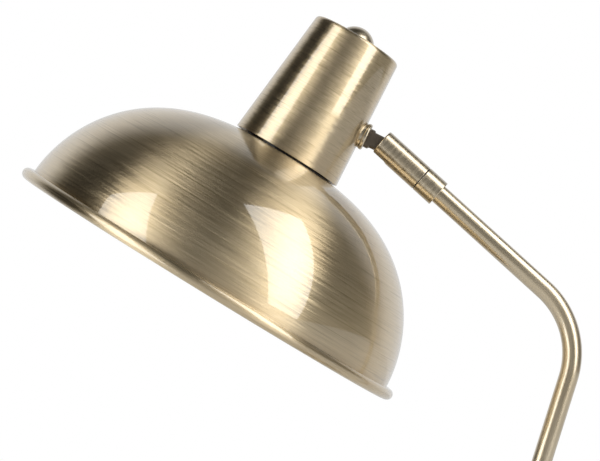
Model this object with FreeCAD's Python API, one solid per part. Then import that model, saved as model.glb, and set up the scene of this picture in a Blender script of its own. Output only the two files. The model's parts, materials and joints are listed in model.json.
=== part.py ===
"""Dome shade desk lamp.

A round weighted base carries a bent tube arm. A short collar closes the arm's upper end, and a slotted
sleeve turns on the spigot that stands out of it. A flattened tongue tilts in the sleeve's slot. Its
threaded stud holds a conical cap, and a lampholder hung inside the cap carries a spun dome with a
curled rim. Lengths are millimetres, angles are degrees. +Z is up, the arm lies in the XZ plane, the
shade looks to -X, and the origin is the middle of the base's underside.
"""
import FreeCAD
import Part
import math
import os

from FreeCAD import Placement, Rotation, Vector

# Base
BASE_DIAMETER = 170.0
BASE_HEIGHT = 18.0
BASE_EDGE_RADIUS = 4.0
BASE_WALL = 1.2
BASE_SKIRT_LIFT = 1.0
PAD_DIAMETER = 160.0
PAD_THICKNESS = 2.0
PAD_EDGE_RADIUS = 0.5
PLATE_THICKNESS = 1.5
PLATE_EDGE_GAP = 0.4
PLATE_SCREW_INSET = 21.8
PLATE_SCREW_COUNT = 3
PLATE_SCREW_DIAMETER = 4.0
PLATE_SCREW_HEAD_DIAMETER = 7.6
PLATE_SCREW_LENGTH = 8.0
PLATE_SCREW_SLOT_WIDTH = 1.0
PLATE_SCREW_SLOT_DEPTH = 0.8
WEIGHT_EDGE_GAP = 1.0
WEIGHT_WEB = 4.0
WEIGHT_NUT_WELL_DIAMETER = 34.0
WIRING_WELL_START = 26.0
WIRING_WELL_SETBACK = 10.8
WIRING_WELL_WIDTH = 32.0
WIRING_CHANNEL_WIDTH = 9.0
WIRING_CHANNEL_HEIGHT = 6.5

# Cord inlet and the terminals behind it
CORD_BORE_DIAMETER = 6.4
CORD_BUSH_NECK_DIAMETER = 9.6
CORD_BUSH_FLANGE_DIAMETER = 12.0
CORD_BUSH_FLANGE_THICKNESS = 1.6
CORD_BUSH_OUTER_LENGTH = 3.2
CORD_BUSH_TAPER = 0.9
CORD_BUSH_MOUTH_RADIUS = 1.2
CORD_BUSH_INNER_RADIUS = 0.4
CLAMP_LENGTH = 9.0
CLAMP_SPAN = 24.0
CLAMP_THICKNESS = 2.2
CLAMP_SCREW_SPACING = 17.0
CLAMP_SCREW_DIAMETER = 3.0
CLAMP_SCREW_HEAD_DIAMETER = 5.4
CLAMP_SCREW_HEAD_HEIGHT = 1.8
CLAMP_SCREW_HEAD_RADIUS = 0.9
CLAMP_SCREW_SLOT_WIDTH = 0.8
CLAMP_SETBACK = 19.8
BLOCK_LENGTH = 20.0
BLOCK_WIDTH = 17.0
BLOCK_HEIGHT = 10.0
BLOCK_STEP = 3.0
BLOCK_TOWER_GAP = 2.4
BLOCK_SCREW_DIAMETER = 3.2

# Arm
TUBE_DIAMETER = 10.0
TUBE_WALL = 1.0
ARM_FOOT_BEND_HEIGHT = 45.0
ARM_FOOT_BEND_RADIUS = 45.0
ARM_LEAN = 17.5
ARM_LOWER_RUN = 312.6
ARM_RISE = 42.1
ARM_BEND_RADIUS = 43.0
ARM_UPPER_RUN = 111.3
TUBE_HOLE_GAP = 0.1
FERRULE_DIAMETER = 20.0
FERRULE_TOP_DIAMETER = 13.0
FERRULE_HEIGHT = 12.0
FERRULE_BAND_HEIGHT = 3.0
FERRULE_BAND_RADIUS = 0.8
FERRULE_FOOT_RADIUS = 0.3
FERRULE_COVE_HEIGHT = 5.0
FERRULE_COVE_RADIUS = 2.0
FERRULE_LIP_RADIUS = 0.6
ARM_WASHER_DIAMETER = 24.0
ARM_WASHER_THICKNESS = 1.2
ARM_NUT_FLATS = 15.0
ARM_NUT_THICKNESS = 3.0
NUT_CHAMFER_ANGLE = 30.0
ARM_FOOT_END_LENGTH = 0.6
LEAD_DIAMETER = 3.2
LEAD_FLOOR_GAP = 0.5
LEAD_TURN_RADIUS = 3.4

# Swivel at the arm's upper end
SLEEVE_DIAMETER = 14.0
COLLAR_LENGTH = 11.5
COLLAR_WEB = 2.5
COLLAR_EDGE_RADIUS = 0.4
SPIGOT_DIAMETER = 8.6
SPIGOT_LENGTH = 13.0
SPIGOT_PLUG_LENGTH = 16.0
SPIGOT_BORE_DIAMETER = 4.0
SPIGOT_GROOVE_DEPTH = 1.2
SPIGOT_GROOVE_WIDTH = 2.6
SPIGOT_GROOVE_HEIGHT = 7.5
SPIGOT_EDGE_RADIUS = 0.4
SWIVEL_STOP_ANGLE = 14.0
SWIVEL_WASHER_THICKNESS = 0.4
SWIVEL_WASHER_DIAMETER = 13.4
SWIVEL_PLAY = 0.05
SET_SCREW_DIAMETER = 3.0
SET_SCREW_DOG_DIAMETER = 2.4
SET_SCREW_SINK = 0.5
SET_SCREW_DOG_RADIUS = 0.2
SET_SCREW_SLOT_WIDTH = 0.6
SET_SCREW_SLOT_DEPTH = 0.8

# Slotted sleeve and tongue
SLEEVE_LENGTH = 27.5
SLEEVE_MOUTH_RADIUS = 0.8
SLEEVE_BORE_DIAMETER = 9.0
SLEEVE_BORE_EDGE_RADIUS = 0.2
SLEEVE_SEAT_DEPTH = 0.5
SLOT_LENGTH = 9.6
SLOT_WIDTH = 6.2
PIVOT_SETBACK = 5.0
PIVOT_SCREW_DIAMETER = 3.0
PIVOT_SCREW_HEAD_DIAMETER = 5.4
PIVOT_SCREW_HEAD_HEIGHT = 1.4
PIVOT_SCREW_SINK = 0.6
PIVOT_SCREW_RIM_HEIGHT = 0.2
PIVOT_SCREW_SLOT_WIDTH = 0.8
PIVOT_SCREW_SLOT_DEPTH = 0.7
PIVOT_THREAD_COVER = 0.8
PIVOT_PLAY = 0.05
PIVOT_WASHER_DIAMETER = 5.6
PIVOT_WASHER_THICKNESS = 0.6
TONGUE_THICKNESS = 5.6
TONGUE_HEIGHT = 8.4
TONGUE_SHOULDER_DIAMETER = 10.1
TONGUE_SHOULDER_LENGTH = 2.2
TONGUE_SHOULDER_EDGE_RADIUS = 0.4
TONGUE_NECK_BLEND = 0.7
TONGUE_NECK_RADIUS = 0.6
STUD_DIAMETER = 10.0
STUD_REACH = 15.0
STUD_HEIGHT = 29.1
STUD_BORE_DIAMETER = 3.8
STUD_TIP = 0.8
STUD_TIP_RADIUS = 0.5
WIRE_GROOVE_DIAMETER = 2.4
WIRE_GROOVE_OFFSET = 3.5
WIRE_DOOR_DISTANCE = 7.0

# Nuts and washers that clamp the stud to the cap
JOINT_WASHER_DIAMETER = 13.4
JOINT_WASHER_THICKNESS = 0.5
JOINT_NUT_DIAMETER = 14.2
JOINT_NUT_THICKNESS = 2.4
JOINT_NUT_EDGE_RADIUS = 1.0
INNER_WASHER_DIAMETER = 15.0
INNER_WASHER_THICKNESS = 0.5
LOCKNUT_FLATS = 13.0
LOCKNUT_THICKNESS = 2.6

# Head
HEAD_LEAN = 31.34
CAP_BOTTOM_DIAMETER = 59.4
CAP_TOP_DIAMETER = 48.2
CAP_HEIGHT = 69.5
CAP_WALL = 1.0
CAP_CORNER_RADIUS = 2.0
CAP_GAP = 1.05
DOME_DIAMETER = 209.6
DOME_CROWN_HEIGHT = 76.65
DOME_SIDE_POWER = 2.752
DOME_CROWN_POWER = 1.876
DOME_SHEET = 0.8
DOME_SEAT_DIAMETER = 56.0
DOME_HOLE_DIAMETER = 40.0
DOME_WALL_STEPS = 12
RIM_BEAD_DIAMETER = 5.8
RIM_CURL_ANGLE = 310.0

# Lampholder hung from the cap
NIPPLE_DIAMETER = 10.0
NIPPLE_BORE_DIAMETER = 7.6
NIPPLE_HOLE_GAP = 0.1
DOMED_NUT_DIAMETER = 18.0
DOMED_NUT_HEIGHT = 6.4
DOMED_NUT_RIM = 1.0
DOMED_NUT_THREAD_DEPTH = 4.0
HOLDER_DIAMETER = 35.0
HOLDER_NECK_DIAMETER = 15.0
HOLDER_NECK_HEIGHT = 6.0
HOLDER_NECK_ROOT_RADIUS = 1.0
HOLDER_NECK_EDGE_RADIUS = 0.5
HOLDER_COVER_HEIGHT = 23.0
HOLDER_COVER_CROWN = 6.0
HOLDER_WALL = 2.0
HOLDER_BODY_HEIGHT = 20.0
HOLDER_SHOULDER_DIAMETER = 47.0
HOLDER_SHOULDER_THICKNESS = 3.0
HOLDER_SKIRT_DIAMETER = 39.4
HOLDER_SKIRT_LENGTH = 14.5
HOLDER_BORE_DIAMETER = 28.6
HOLDER_BORE_EDGE_RADIUS = 0.5
HOLDER_EDGE_RADIUS = 0.8
CORE_THICKNESS = 9.0
CORE_SEAT = 3.0
CORE_SCREW_FLOOR = 3.0
SHELL_WALL = 0.4
SHELL_LENGTH = 22.0
CONTACT_WIDTH = 5.0
CONTACT_THICKNESS = 0.5
CONTACT_LENGTH = 14.0
CONTACT_LIFT = 2.5
CONTACT_FOOT_RADIUS = 1.0
CONTACT_TIP_RADIUS = 0.8
RING_FLANGE_DIAMETER = 54.0
RING_FLANGE_THICKNESS = 2.4
RING_COLLAR_DIAMETER = 45.0
RING_HEIGHT = 9.0
RING_GRIP_COUNT = 12
RING_GRIP_DIAMETER = 5.0
RING_EDGE_RADIUS = 0.6
RING_ROOT_RADIUS = 0.4
CORE_SCREW_SPACING = 18.0
CORE_SCREW_DIAMETER = 3.5
CORE_WIRE_DIAMETER = 1.6
CORE_WIRE_SPACING = 1.8
CORE_WIRE_TURN = 2.6
CORE_WIRE_TOP_TURN = 2.34
CORE_WIRE_ENTRY_SHIFT = 1.0
CORE_WIRE_REACH = 4.0

# Bulb
BULB_CAP_DIAMETER = 26.4
BULB_CAP_LENGTH = 23.0
BULB_CAP_WALL = 0.3
BULB_CAP_EDGE_RADIUS = 1.5
BULB_CAP_FLANGE = 0.6
BULB_CONTACT_DIAMETER = 9.5
BULB_BUTTON_HEIGHT = 1.0
BULB_BUTTON_INSET = 0.6
BULB_INSULATOR_HEIGHT = 3.4
BULB_INSULATOR_EDGE_RADIUS = 0.5
BULB_LENGTH = 78.0
BULB_DIAMETER = 45.0
BULB_COLLAR_LENGTH = 17.0
BULB_COLLAR_DIAMETER = 40.0
BULB_COLLAR_BAND_LENGTH = 5.0
BULB_COLLAR_TAPER = 1.5
BULB_COLLAR_SHOULDER_RADIUS = 4.0
BULB_COLLAR_NECK_LENGTH = 2.5
BULB_COLLAR_NECK_RADIUS = 3.0
BULB_COLLAR_ROOM = 4.0
BULB_GLOBE_WALL = 1.2

# Worked out from the sizes above
X_AXIS = Vector(1, 0, 0)
Y_AXIS = Vector(0, 1, 0)
Z_AXIS = Vector(0, 0, 1)
ORIGIN = Vector(0, 0, 0)
SAME_POINT = 1e-6
CUT_OVERRUN = 1.0

TUBE_RADIUS = TUBE_DIAMETER / 2
TUBE_BORE_RADIUS = TUBE_RADIUS - TUBE_WALL
PLATE_TOP = PAD_THICKNESS + PLATE_THICKNESS
SHELL_ROOF = BASE_HEIGHT - BASE_WALL
SHELL_INNER_RADIUS = BASE_DIAMETER / 2 - BASE_WALL
WEIGHT_RADIUS = SHELL_INNER_RADIUS - WEIGHT_EDGE_GAP
WIRING_WELL_END = SHELL_INNER_RADIUS - WIRING_WELL_SETBACK
CLAMP_POSITION = SHELL_INNER_RADIUS - CLAMP_SETBACK
PLATE_SCREW_CIRCLE_RADIUS = SHELL_INNER_RADIUS - PLATE_SCREW_INSET
WEIGHT_WEB_UNDERSIDE = SHELL_ROOF - WEIGHT_WEB
ARM_WASHER_UNDERSIDE = WEIGHT_WEB_UNDERSIDE - ARM_WASHER_THICKNESS
ARM_NUT_UNDERSIDE = ARM_WASHER_UNDERSIDE - ARM_NUT_THICKNESS
TUBE_FOOT = ARM_NUT_UNDERSIDE - ARM_FOOT_END_LENGTH
CORD_HEIGHT = (PLATE_TOP + SHELL_ROOF) / 2
LEAD_RUN_HEIGHT = PLATE_TOP + LEAD_FLOOR_GAP + LEAD_DIAMETER / 2
BLOCK_FACE = WIRING_WELL_START + LEAD_DIAMETER

LEAN = math.radians(ARM_LEAN)
RISE = math.radians(ARM_RISE)
ARM_FOOT_CORNER = Vector(0, 0, ARM_FOOT_BEND_HEIGHT)
LOWER_DIRECTION = Vector(math.sin(LEAN), 0, math.cos(LEAN))
UPPER_DIRECTION = Vector(-math.cos(RISE), 0, math.sin(RISE))
ARM_TOP_CORNER = ARM_FOOT_CORNER + LOWER_DIRECTION * ARM_LOWER_RUN
SEAM = ARM_TOP_CORNER + UPPER_DIRECTION * ARM_UPPER_RUN

# Swivel frame: origin at the seam's middle, +Z up the arm, +X on the sleeve's upper side.
SWIVEL_FRAME = Placement(SEAM, Rotation(Y_AXIS, ARM_RISE - 90))
SLEEVE_START = SWIVEL_WASHER_THICKNESS + SWIVEL_PLAY
SLEEVE_MOUTH = SLEEVE_START + SLEEVE_LENGTH
PIVOT_HEIGHT = SLEEVE_MOUTH - PIVOT_SETBACK
PIVOT = SWIVEL_FRAME.multVec(Vector(0, 0, PIVOT_HEIGHT))
SPIGOT_RADIUS = SPIGOT_DIAMETER / 2
GROOVE_FLOOR_RADIUS = SPIGOT_RADIUS - SPIGOT_GROOVE_DEPTH
SLEEVE_SOCKET_RADIUS = SPIGOT_RADIUS + SWIVEL_PLAY
SLEEVE_RADIUS = SLEEVE_DIAMETER / 2
SLEEVE_BORE_RADIUS = SLEEVE_BORE_DIAMETER / 2

# Head frame: origin in the rim's plane, +Z up the shade's axis, +X towards the arm.
CAP_FLARE = math.atan((CAP_BOTTOM_DIAMETER - CAP_TOP_DIAMETER) / 2 / CAP_HEIGHT)
DOME_RADIUS = DOME_DIAMETER / 2


def dome_height(radius):
    """Height of the dome's outer wall above the rim's plane at this radius."""
    share = 1 - (radius / DOME_RADIUS) ** DOME_SIDE_POWER
    return DOME_CROWN_HEIGHT * share ** (1 / DOME_CROWN_POWER)


CAP_BOTTOM = dome_height(CAP_BOTTOM_DIAMETER / 2) + CAP_GAP
CAP_TOP = CAP_BOTTOM + CAP_HEIGHT
CAP_ROOF = CAP_TOP - CAP_WALL
DOME_SEAT = dome_height(DOME_SEAT_DIAMETER / 2)
DOME_SEAT_UNDERSIDE = DOME_SEAT - DOME_SHEET


def cap_radius(height):
    """Radius of the cap's outer wall at this height in the head frame."""
    return CAP_BOTTOM_DIAMETER / 2 - (height - CAP_BOTTOM) * math.tan(CAP_FLARE)


# Stud frame, inside the head frame: origin on the cap's outer wall, +Z straight out of it.
STUD_LEVEL = CAP_BOTTOM + STUD_HEIGHT
STUD_FOOT = Vector(cap_radius(STUD_LEVEL), 0, STUD_LEVEL)
STUD_FRAME = Placement(STUD_FOOT, Rotation(Y_AXIS, 90 - math.degrees(CAP_FLARE)))
HEAD_ROTATION = Rotation(Y_AXIS, HEAD_LEAN)
PIVOT_IN_HEAD = STUD_FRAME.multVec(Vector(0, 0, STUD_REACH))
HEAD_FRAME = Placement(PIVOT - HEAD_ROTATION.multVec(PIVOT_IN_HEAD), HEAD_ROTATION)

JOINT_NUT_OUTER = JOINT_WASHER_THICKNESS + JOINT_NUT_THICKNESS
INNER_WALL_RADIUS = cap_radius(STUD_LEVEL) - CAP_WALL
INNER_WASHER_CHORD = math.sqrt(INNER_WALL_RADIUS ** 2 - INNER_WASHER_DIAMETER ** 2 / 4)
INNER_WASHER_SAG = INNER_WALL_RADIUS - INNER_WASHER_CHORD
INNER_WASHER_FACE = -(CAP_WALL + INNER_WASHER_SAG + INNER_WASHER_THICKNESS)
LOCKNUT_FACE = INNER_WASHER_FACE - LOCKNUT_THICKNESS
STUD_END = LOCKNUT_FACE - STUD_TIP

HOLDER_SHOULDER_TOP = DOME_SEAT + HOLDER_SHOULDER_THICKNESS
HOLDER_SPLIT = DOME_SEAT + HOLDER_BODY_HEIGHT
HOLDER_CROWN = HOLDER_SPLIT + HOLDER_COVER_HEIGHT
HOLDER_TOP = HOLDER_CROWN + HOLDER_NECK_HEIGHT
HOLDER_BOTTOM = DOME_SEAT_UNDERSIDE - HOLDER_SKIRT_LENGTH
NIPPLE_BOTTOM = HOLDER_CROWN - HOLDER_WALL
NIPPLE_TOP = CAP_TOP + DOMED_NUT_THREAD_DEPTH
CORE_BOTTOM = HOLDER_SPLIT - CORE_SEAT
CORE_TOP = CORE_BOTTOM + CORE_THICKNESS
CONTACT_TIP = CORE_BOTTOM - CONTACT_LIFT - CONTACT_THICKNESS
BULB_END = CONTACT_TIP - BULB_LENGTH
BULB_CAP_TOP = CONTACT_TIP - BULB_BUTTON_HEIGHT - BULB_INSULATOR_HEIGHT
BULB_CAP_BOTTOM = BULB_CAP_TOP - BULB_CAP_LENGTH
BULB_COLLAR_END = BULB_CAP_BOTTOM - BULB_COLLAR_LENGTH


# Drawing helpers

def rounded_edges(corners, closed=True):
    """Edges in the XZ plane through corners (x, z, radius), with an arc at each corner that has a radius."""
    points = [Vector(x, 0, z) for x, z, radius in corners]
    count = len(points)
    arrivals, departures, arcs = [], [], []
    for index, (x, z, radius) in enumerate(corners):
        here = points[index]
        inner = closed or 0 < index < count - 1
        if radius == 0 or not inner:
            arrivals.append(here)
            departures.append(here)
            arcs.append(None)
            continue
        back = (points[index - 1] - here).normalize()
        on = (points[(index + 1) % count] - here).normalize()
        half = back.getAngle(on) / 2
        arrival = here + back * (radius / math.tan(half))
        departure = here + on * (radius / math.tan(half))
        centre = here + (back + on).normalize() * (radius / math.sin(half))
        middle = centre + (here - centre).normalize() * radius
        arrivals.append(arrival)
        departures.append(departure)
        arcs.append(Part.Arc(arrival, middle, departure).toShape())
    edges = []
    for index in range(count):
        if arcs[index]:
            edges.append(arcs[index])
        last = index == count - 1
        following = arrivals[(index + 1) % count]
        if (closed or not last) and departures[index].distanceToPoint(following) > SAME_POINT:
            edges.append(Part.makeLine(departures[index], following))
    return edges


def turned(corners):
    """Solid turned about Z from a closed outline of corners (radius, height, corner radius)."""
    face = Part.Face(Part.Wire(rounded_edges(corners)))
    return face.revolve(ORIGIN, Z_AXIS, 360)


def disc(radius, low, high):
    """Plain cylinder on Z."""
    return Part.makeCylinder(radius, high - low, Vector(0, 0, low))


def ring(outer, inner, low, high):
    """Cylinder on Z with a round hole."""
    return disc(outer, low, high).cut(disc(inner, low, high))


def bar(radius, start, direction, length):
    """Cylinder along any direction."""
    return Part.makeCylinder(radius, length, start, direction)


def block(x0, x1, width, z0, z1):
    """Box from x0 to x1 and z0 to z1, centred on the XZ plane."""
    return Part.makeBox(x1 - x0, width, z1 - z0, Vector(x0, -width / 2, z0))


def hexagon(flats, bore, low, high):
    """Hexagon nut on Z with chamfered corners."""
    corner_radius = flats / math.sqrt(3)
    points = [Vector(corner_radius * math.cos(math.radians(60 * k)),
                     corner_radius * math.sin(math.radians(60 * k)), low) for k in range(7)]
    prism = Part.Face(Part.makePolygon(points)).extrude(Vector(0, 0, high - low))
    fall = (corner_radius - flats / 2) * math.tan(math.radians(NUT_CHAMFER_ANGLE))
    rounding = turned([(0, low, 0), (flats / 2, low, 0), (corner_radius, low + fall, 0),
                       (corner_radius, high - fall, 0), (flats / 2, high, 0), (0, high, 0)])
    return prism.common(rounding).cut(disc(bore, low, high))


def swept(radius, edges):
    """Round bar along a path of straight runs and tangent arcs."""
    path = Part.Wire(edges)
    start = path.OrderedVertexes[0].Point
    first = path.OrderedEdges[0]
    direction = first.tangentAt(first.FirstParameter)
    if start.distanceToPoint(first.valueAt(first.FirstParameter)) > SAME_POINT:
        direction = direction * -1
    section = Part.Wire(Part.makeCircle(radius, start, direction))
    return path.makePipeShell([section], True, False)


def around(shape, count, axis_point=ORIGIN, axis=Z_AXIS):
    """Copies of a shape, evenly spaced round an axis."""
    copies = []
    for step in range(count):
        copy = shape.copy()
        copy.rotate(axis_point, axis, 360.0 * step / count)
        copies.append(copy)
    return copies


def placed(shape, frame):
    """Shape moved from a local frame to the frame around it."""
    moved = shape.copy()
    moved.Placement = frame.multiply(moved.Placement)
    return moved


# Base

def base_cover():
    """The shell before its cord hole is drilled."""
    outer = BASE_DIAMETER / 2
    hole = TUBE_RADIUS + TUBE_HOLE_GAP
    return turned([
        (hole, BASE_HEIGHT, 0), (outer, BASE_HEIGHT, BASE_EDGE_RADIUS), (outer, BASE_SKIRT_LIFT, 0),
        (SHELL_INNER_RADIUS, BASE_SKIRT_LIFT, 0),
        (SHELL_INNER_RADIUS, SHELL_ROOF, BASE_EDGE_RADIUS - BASE_WALL), (hole, SHELL_ROOF, 0)])


def cord_hole():
    """Cutter for the bush's hole through the shell's wall."""
    start = SHELL_INNER_RADIUS - CORD_BUSH_FLANGE_THICKNESS
    return bar(CORD_BUSH_NECK_DIAMETER / 2, Vector(start, 0, CORD_HEIGHT), X_AXIS,
               CORD_BUSH_FLANGE_DIAMETER)


def base_shell():
    """Spun cover with a rounded edge, holes for the arm and the cord bush."""
    return base_cover().cut(cord_hole())


def base_weight():
    """Cast disc with a web over the arm's nut, a well for the terminals and channels for the wires."""
    weight = turned([
        (0, PLATE_TOP, 0), (WEIGHT_RADIUS, PLATE_TOP, 0), (WEIGHT_RADIUS, SHELL_ROOF, BASE_EDGE_RADIUS),
        (0, SHELL_ROOF, 0)])
    bush_room = SHELL_INNER_RADIUS - CORD_BUSH_FLANGE_THICKNESS - WEIGHT_EDGE_GAP
    bush_width = CORD_BUSH_FLANGE_DIAMETER + WEIGHT_EDGE_GAP
    cuts = [
        disc(TUBE_RADIUS + TUBE_HOLE_GAP, 0, BASE_HEIGHT),
        disc(WEIGHT_NUT_WELL_DIAMETER / 2, 0, WEIGHT_WEB_UNDERSIDE),
        block(WIRING_WELL_START, WIRING_WELL_END, WIRING_WELL_WIDTH, 0, BASE_HEIGHT),
        block(0, WIRING_WELL_START, WIRING_CHANNEL_WIDTH, 0, PLATE_TOP + WIRING_CHANNEL_HEIGHT),
        block(WIRING_WELL_END, bush_room, WIRING_CHANNEL_WIDTH, 0, BASE_HEIGHT),
        block(bush_room, BASE_DIAMETER / 2, bush_width, 0, BASE_HEIGHT)]
    cuts += plate_screw_shanks()
    return weight.cut(cuts)


def plate_screw_shanks():
    """Room for the threads of the plate's screws, in the weight and the plate."""
    shank = bar(PLATE_SCREW_DIAMETER / 2, Vector(PLATE_SCREW_CIRCLE_RADIUS, 0, PAD_THICKNESS), Z_AXIS,
                PLATE_SCREW_LENGTH)
    shank.rotate(ORIGIN, Z_AXIS, 180.0 / PLATE_SCREW_COUNT)
    return around(shank, PLATE_SCREW_COUNT)


def plate_screw_heads():
    """Countersunk heads flush with the plate's underside."""
    rim = PLATE_SCREW_HEAD_DIAMETER / 2
    head = Part.makeCone(rim, PLATE_SCREW_DIAMETER / 2, PLATE_THICKNESS,
                         Vector(PLATE_SCREW_CIRCLE_RADIUS, 0, PAD_THICKNESS))
    head.rotate(ORIGIN, Z_AXIS, 180.0 / PLATE_SCREW_COUNT)
    return around(head, PLATE_SCREW_COUNT)


def base_plate():
    """Steel disc that closes the base, with countersunk holes and the clamp's screw holes."""
    plate = disc(SHELL_INNER_RADIUS - PLATE_EDGE_GAP, PAD_THICKNESS, PLATE_TOP)
    return plate.cut(plate_screw_shanks() + plate_screw_heads() + clamp_screw_shanks())


def base_plate_screws():
    """Countersunk screws with a straight driver slot."""
    screws = []
    for head, shank in zip(plate_screw_heads(), plate_screw_shanks()):
        slot = block(-PLATE_SCREW_HEAD_DIAMETER, PLATE_SCREW_HEAD_DIAMETER, PLATE_SCREW_SLOT_WIDTH, 0,
                     PLATE_SCREW_SLOT_DEPTH)
        middle = head.BoundBox.Center
        slot.translate(Vector(middle.x, middle.y, PAD_THICKNESS))
        screws.append(head.fuse(shank).removeSplitter().cut(slot))
    return Part.makeCompound(screws)


def base_pad():
    """Soft pad that the lamp stands on."""
    edge = PAD_DIAMETER / 2
    return turned([(0, 0, 0), (edge, 0, PAD_EDGE_RADIUS), (edge, PAD_THICKNESS, 0), (0, PAD_THICKNESS, 0)])


def cord_bush():
    """Rubber bush pressed into the shell's wall, with a rounded mouth."""
    wall_outer = BASE_DIAMETER / 2
    bore = CORD_BORE_DIAMETER / 2
    flange = CORD_BUSH_FLANGE_DIAMETER / 2
    inner_face = SHELL_INNER_RADIUS - CORD_BUSH_FLANGE_THICKNESS
    outer_face = wall_outer + CORD_BUSH_OUTER_LENGTH
    blank = turned([
        (bore, inner_face, 0), (flange, inner_face, CORD_BUSH_INNER_RADIUS), (flange, wall_outer, 0),
        (flange - CORD_BUSH_TAPER, outer_face, CORD_BUSH_MOUTH_RADIUS), (bore, outer_face, 0)])
    blank = placed(blank, Placement(Vector(0, 0, CORD_HEIGHT), Rotation(Y_AXIS, 90)))
    return blank.cut(base_cover().cut(cord_hole()))


def clamp_screw_shanks():
    """Threads of the clamp's two screws, down through the plate."""
    top = PLATE_TOP + CLAMP_THICKNESS
    feet = [Vector(CLAMP_POSITION, side * CLAMP_SCREW_SPACING / 2, PAD_THICKNESS) for side in (-1, 1)]
    return [bar(CLAMP_SCREW_DIAMETER / 2, foot, Z_AXIS, top - PAD_THICKNESS) for foot in feet]


def cord_clamp():
    """Bridge that would hold the cord down on the plate."""
    low, high = PLATE_TOP, PLATE_TOP + CORD_BORE_DIAMETER + CLAMP_THICKNESS
    start = CLAMP_POSITION - CLAMP_LENGTH / 2
    bridge_radius = CORD_BORE_DIAMETER / 2 + CLAMP_THICKNESS
    middle = Vector(start, 0, low + CORD_BORE_DIAMETER / 2)
    feet = block(start, start + CLAMP_LENGTH, CLAMP_SPAN, low, low + CLAMP_THICKNESS)
    legs = block(start, start + CLAMP_LENGTH, 2 * bridge_radius, low, middle.z)
    bridge = bar(bridge_radius, middle, X_AXIS, CLAMP_LENGTH).common(
        block(start, start + CLAMP_LENGTH, 2 * bridge_radius, middle.z, high + CLAMP_THICKNESS))
    tunnel = bar(CORD_BORE_DIAMETER / 2, middle, X_AXIS, CLAMP_LENGTH)
    floor = block(start, start + CLAMP_LENGTH, CORD_BORE_DIAMETER, low, middle.z)
    solid = feet.fuse([legs, bridge]).removeSplitter()
    return solid.cut([tunnel, floor] + clamp_screw_shanks())


def cord_clamp_screws():
    """Round-headed screws through the clamp's feet."""
    screws = []
    seat = PLATE_TOP + CLAMP_THICKNESS
    for shank, side in zip(clamp_screw_shanks(), (-1, 1)):
        head = turned([
            (0, 0, 0), (CLAMP_SCREW_HEAD_DIAMETER / 2, 0, 0),
            (CLAMP_SCREW_HEAD_DIAMETER / 2, CLAMP_SCREW_HEAD_HEIGHT, CLAMP_SCREW_HEAD_RADIUS),
            (0, CLAMP_SCREW_HEAD_HEIGHT, 0)])
        slot = block(-CLAMP_SCREW_HEAD_DIAMETER, CLAMP_SCREW_HEAD_DIAMETER, CLAMP_SCREW_SLOT_WIDTH,
                     CLAMP_SCREW_HEAD_HEIGHT / 2, CLAMP_SCREW_HEAD_HEIGHT)
        head = head.cut(slot)
        head.translate(Vector(CLAMP_POSITION, side * CLAMP_SCREW_SPACING / 2, seat))
        screws.append(head.fuse(shank).removeSplitter())
    return Part.makeCompound(screws)


def terminal_block():
    """Two-pole connector: a low body with two towers, wire holes and screw holes."""
    start, end = BLOCK_FACE, BLOCK_FACE + BLOCK_LENGTH
    top = PLATE_TOP + BLOCK_HEIGHT
    body = block(start, end, BLOCK_WIDTH, PLATE_TOP, top - BLOCK_STEP)
    towers = block(start + BLOCK_STEP, end - BLOCK_STEP, BLOCK_WIDTH, top - BLOCK_STEP, top)
    gap = block(start, end, BLOCK_TOWER_GAP, top - BLOCK_STEP, top)
    solid = body.fuse(towers).removeSplitter().cut(gap)
    pole = (BLOCK_WIDTH + BLOCK_TOWER_GAP) / 4
    hole_height = PLATE_TOP + (BLOCK_HEIGHT - BLOCK_STEP) / 2
    holes = []
    for side in (-1, 1):
        for x in (start + 2 * BLOCK_STEP, end - 2 * BLOCK_STEP):
            screw_foot = Vector(x, side * pole, hole_height)
            holes.append(bar(BLOCK_SCREW_DIAMETER / 2, screw_foot, Z_AXIS, BLOCK_HEIGHT))
        wire_start = Vector(end - BLOCK_LENGTH / 2, side * pole, hole_height)
        holes.append(bar(LEAD_DIAMETER / 2, wire_start, X_AXIS, BLOCK_LENGTH))
    return solid.cut(holes)


# Arm

def arm_route(foot, top_length):
    """The arm's centre line from its foot to a length above the upper corner."""
    top = ARM_TOP_CORNER + UPPER_DIRECTION * top_length
    return [(0, foot, 0), (0, ARM_FOOT_BEND_HEIGHT, ARM_FOOT_BEND_RADIUS),
            (ARM_TOP_CORNER.x, ARM_TOP_CORNER.z, ARM_BEND_RADIUS), (top.x, top.z, 0)]


def arm_tube():
    """Bent tube from under the weight to the collar's web."""
    route = arm_route(TUBE_FOOT, ARM_UPPER_RUN - COLLAR_WEB)
    outside = swept(TUBE_RADIUS, rounded_edges(route, closed=False))
    inside = swept(TUBE_BORE_RADIUS, rounded_edges(route, closed=False))
    return outside.cut(inside)


def arm_ferrule():
    """Turned collar brazed to the tube where it meets the base."""
    foot, top = BASE_HEIGHT, BASE_HEIGHT + FERRULE_HEIGHT
    wide, slim = FERRULE_DIAMETER / 2, FERRULE_TOP_DIAMETER / 2
    return turned([
        (TUBE_RADIUS, foot, 0), (wide, foot, FERRULE_FOOT_RADIUS),
        (wide, foot + FERRULE_BAND_HEIGHT, FERRULE_BAND_RADIUS),
        (slim, foot + FERRULE_COVE_HEIGHT, FERRULE_COVE_RADIUS), (slim, top, FERRULE_LIP_RADIUS),
        (TUBE_RADIUS, top, 0)])


def arm_washer():
    """Washer between the weight's web and the arm's nut."""
    return ring(ARM_WASHER_DIAMETER / 2, TUBE_RADIUS + TUBE_HOLE_GAP, ARM_WASHER_UNDERSIDE,
                WEIGHT_WEB_UNDERSIDE)


def arm_nut():
    """Thin nut on the tube's threaded foot."""
    return hexagon(ARM_NUT_FLATS, TUBE_RADIUS, ARM_NUT_UNDERSIDE, ARM_WASHER_UNDERSIDE)


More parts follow.
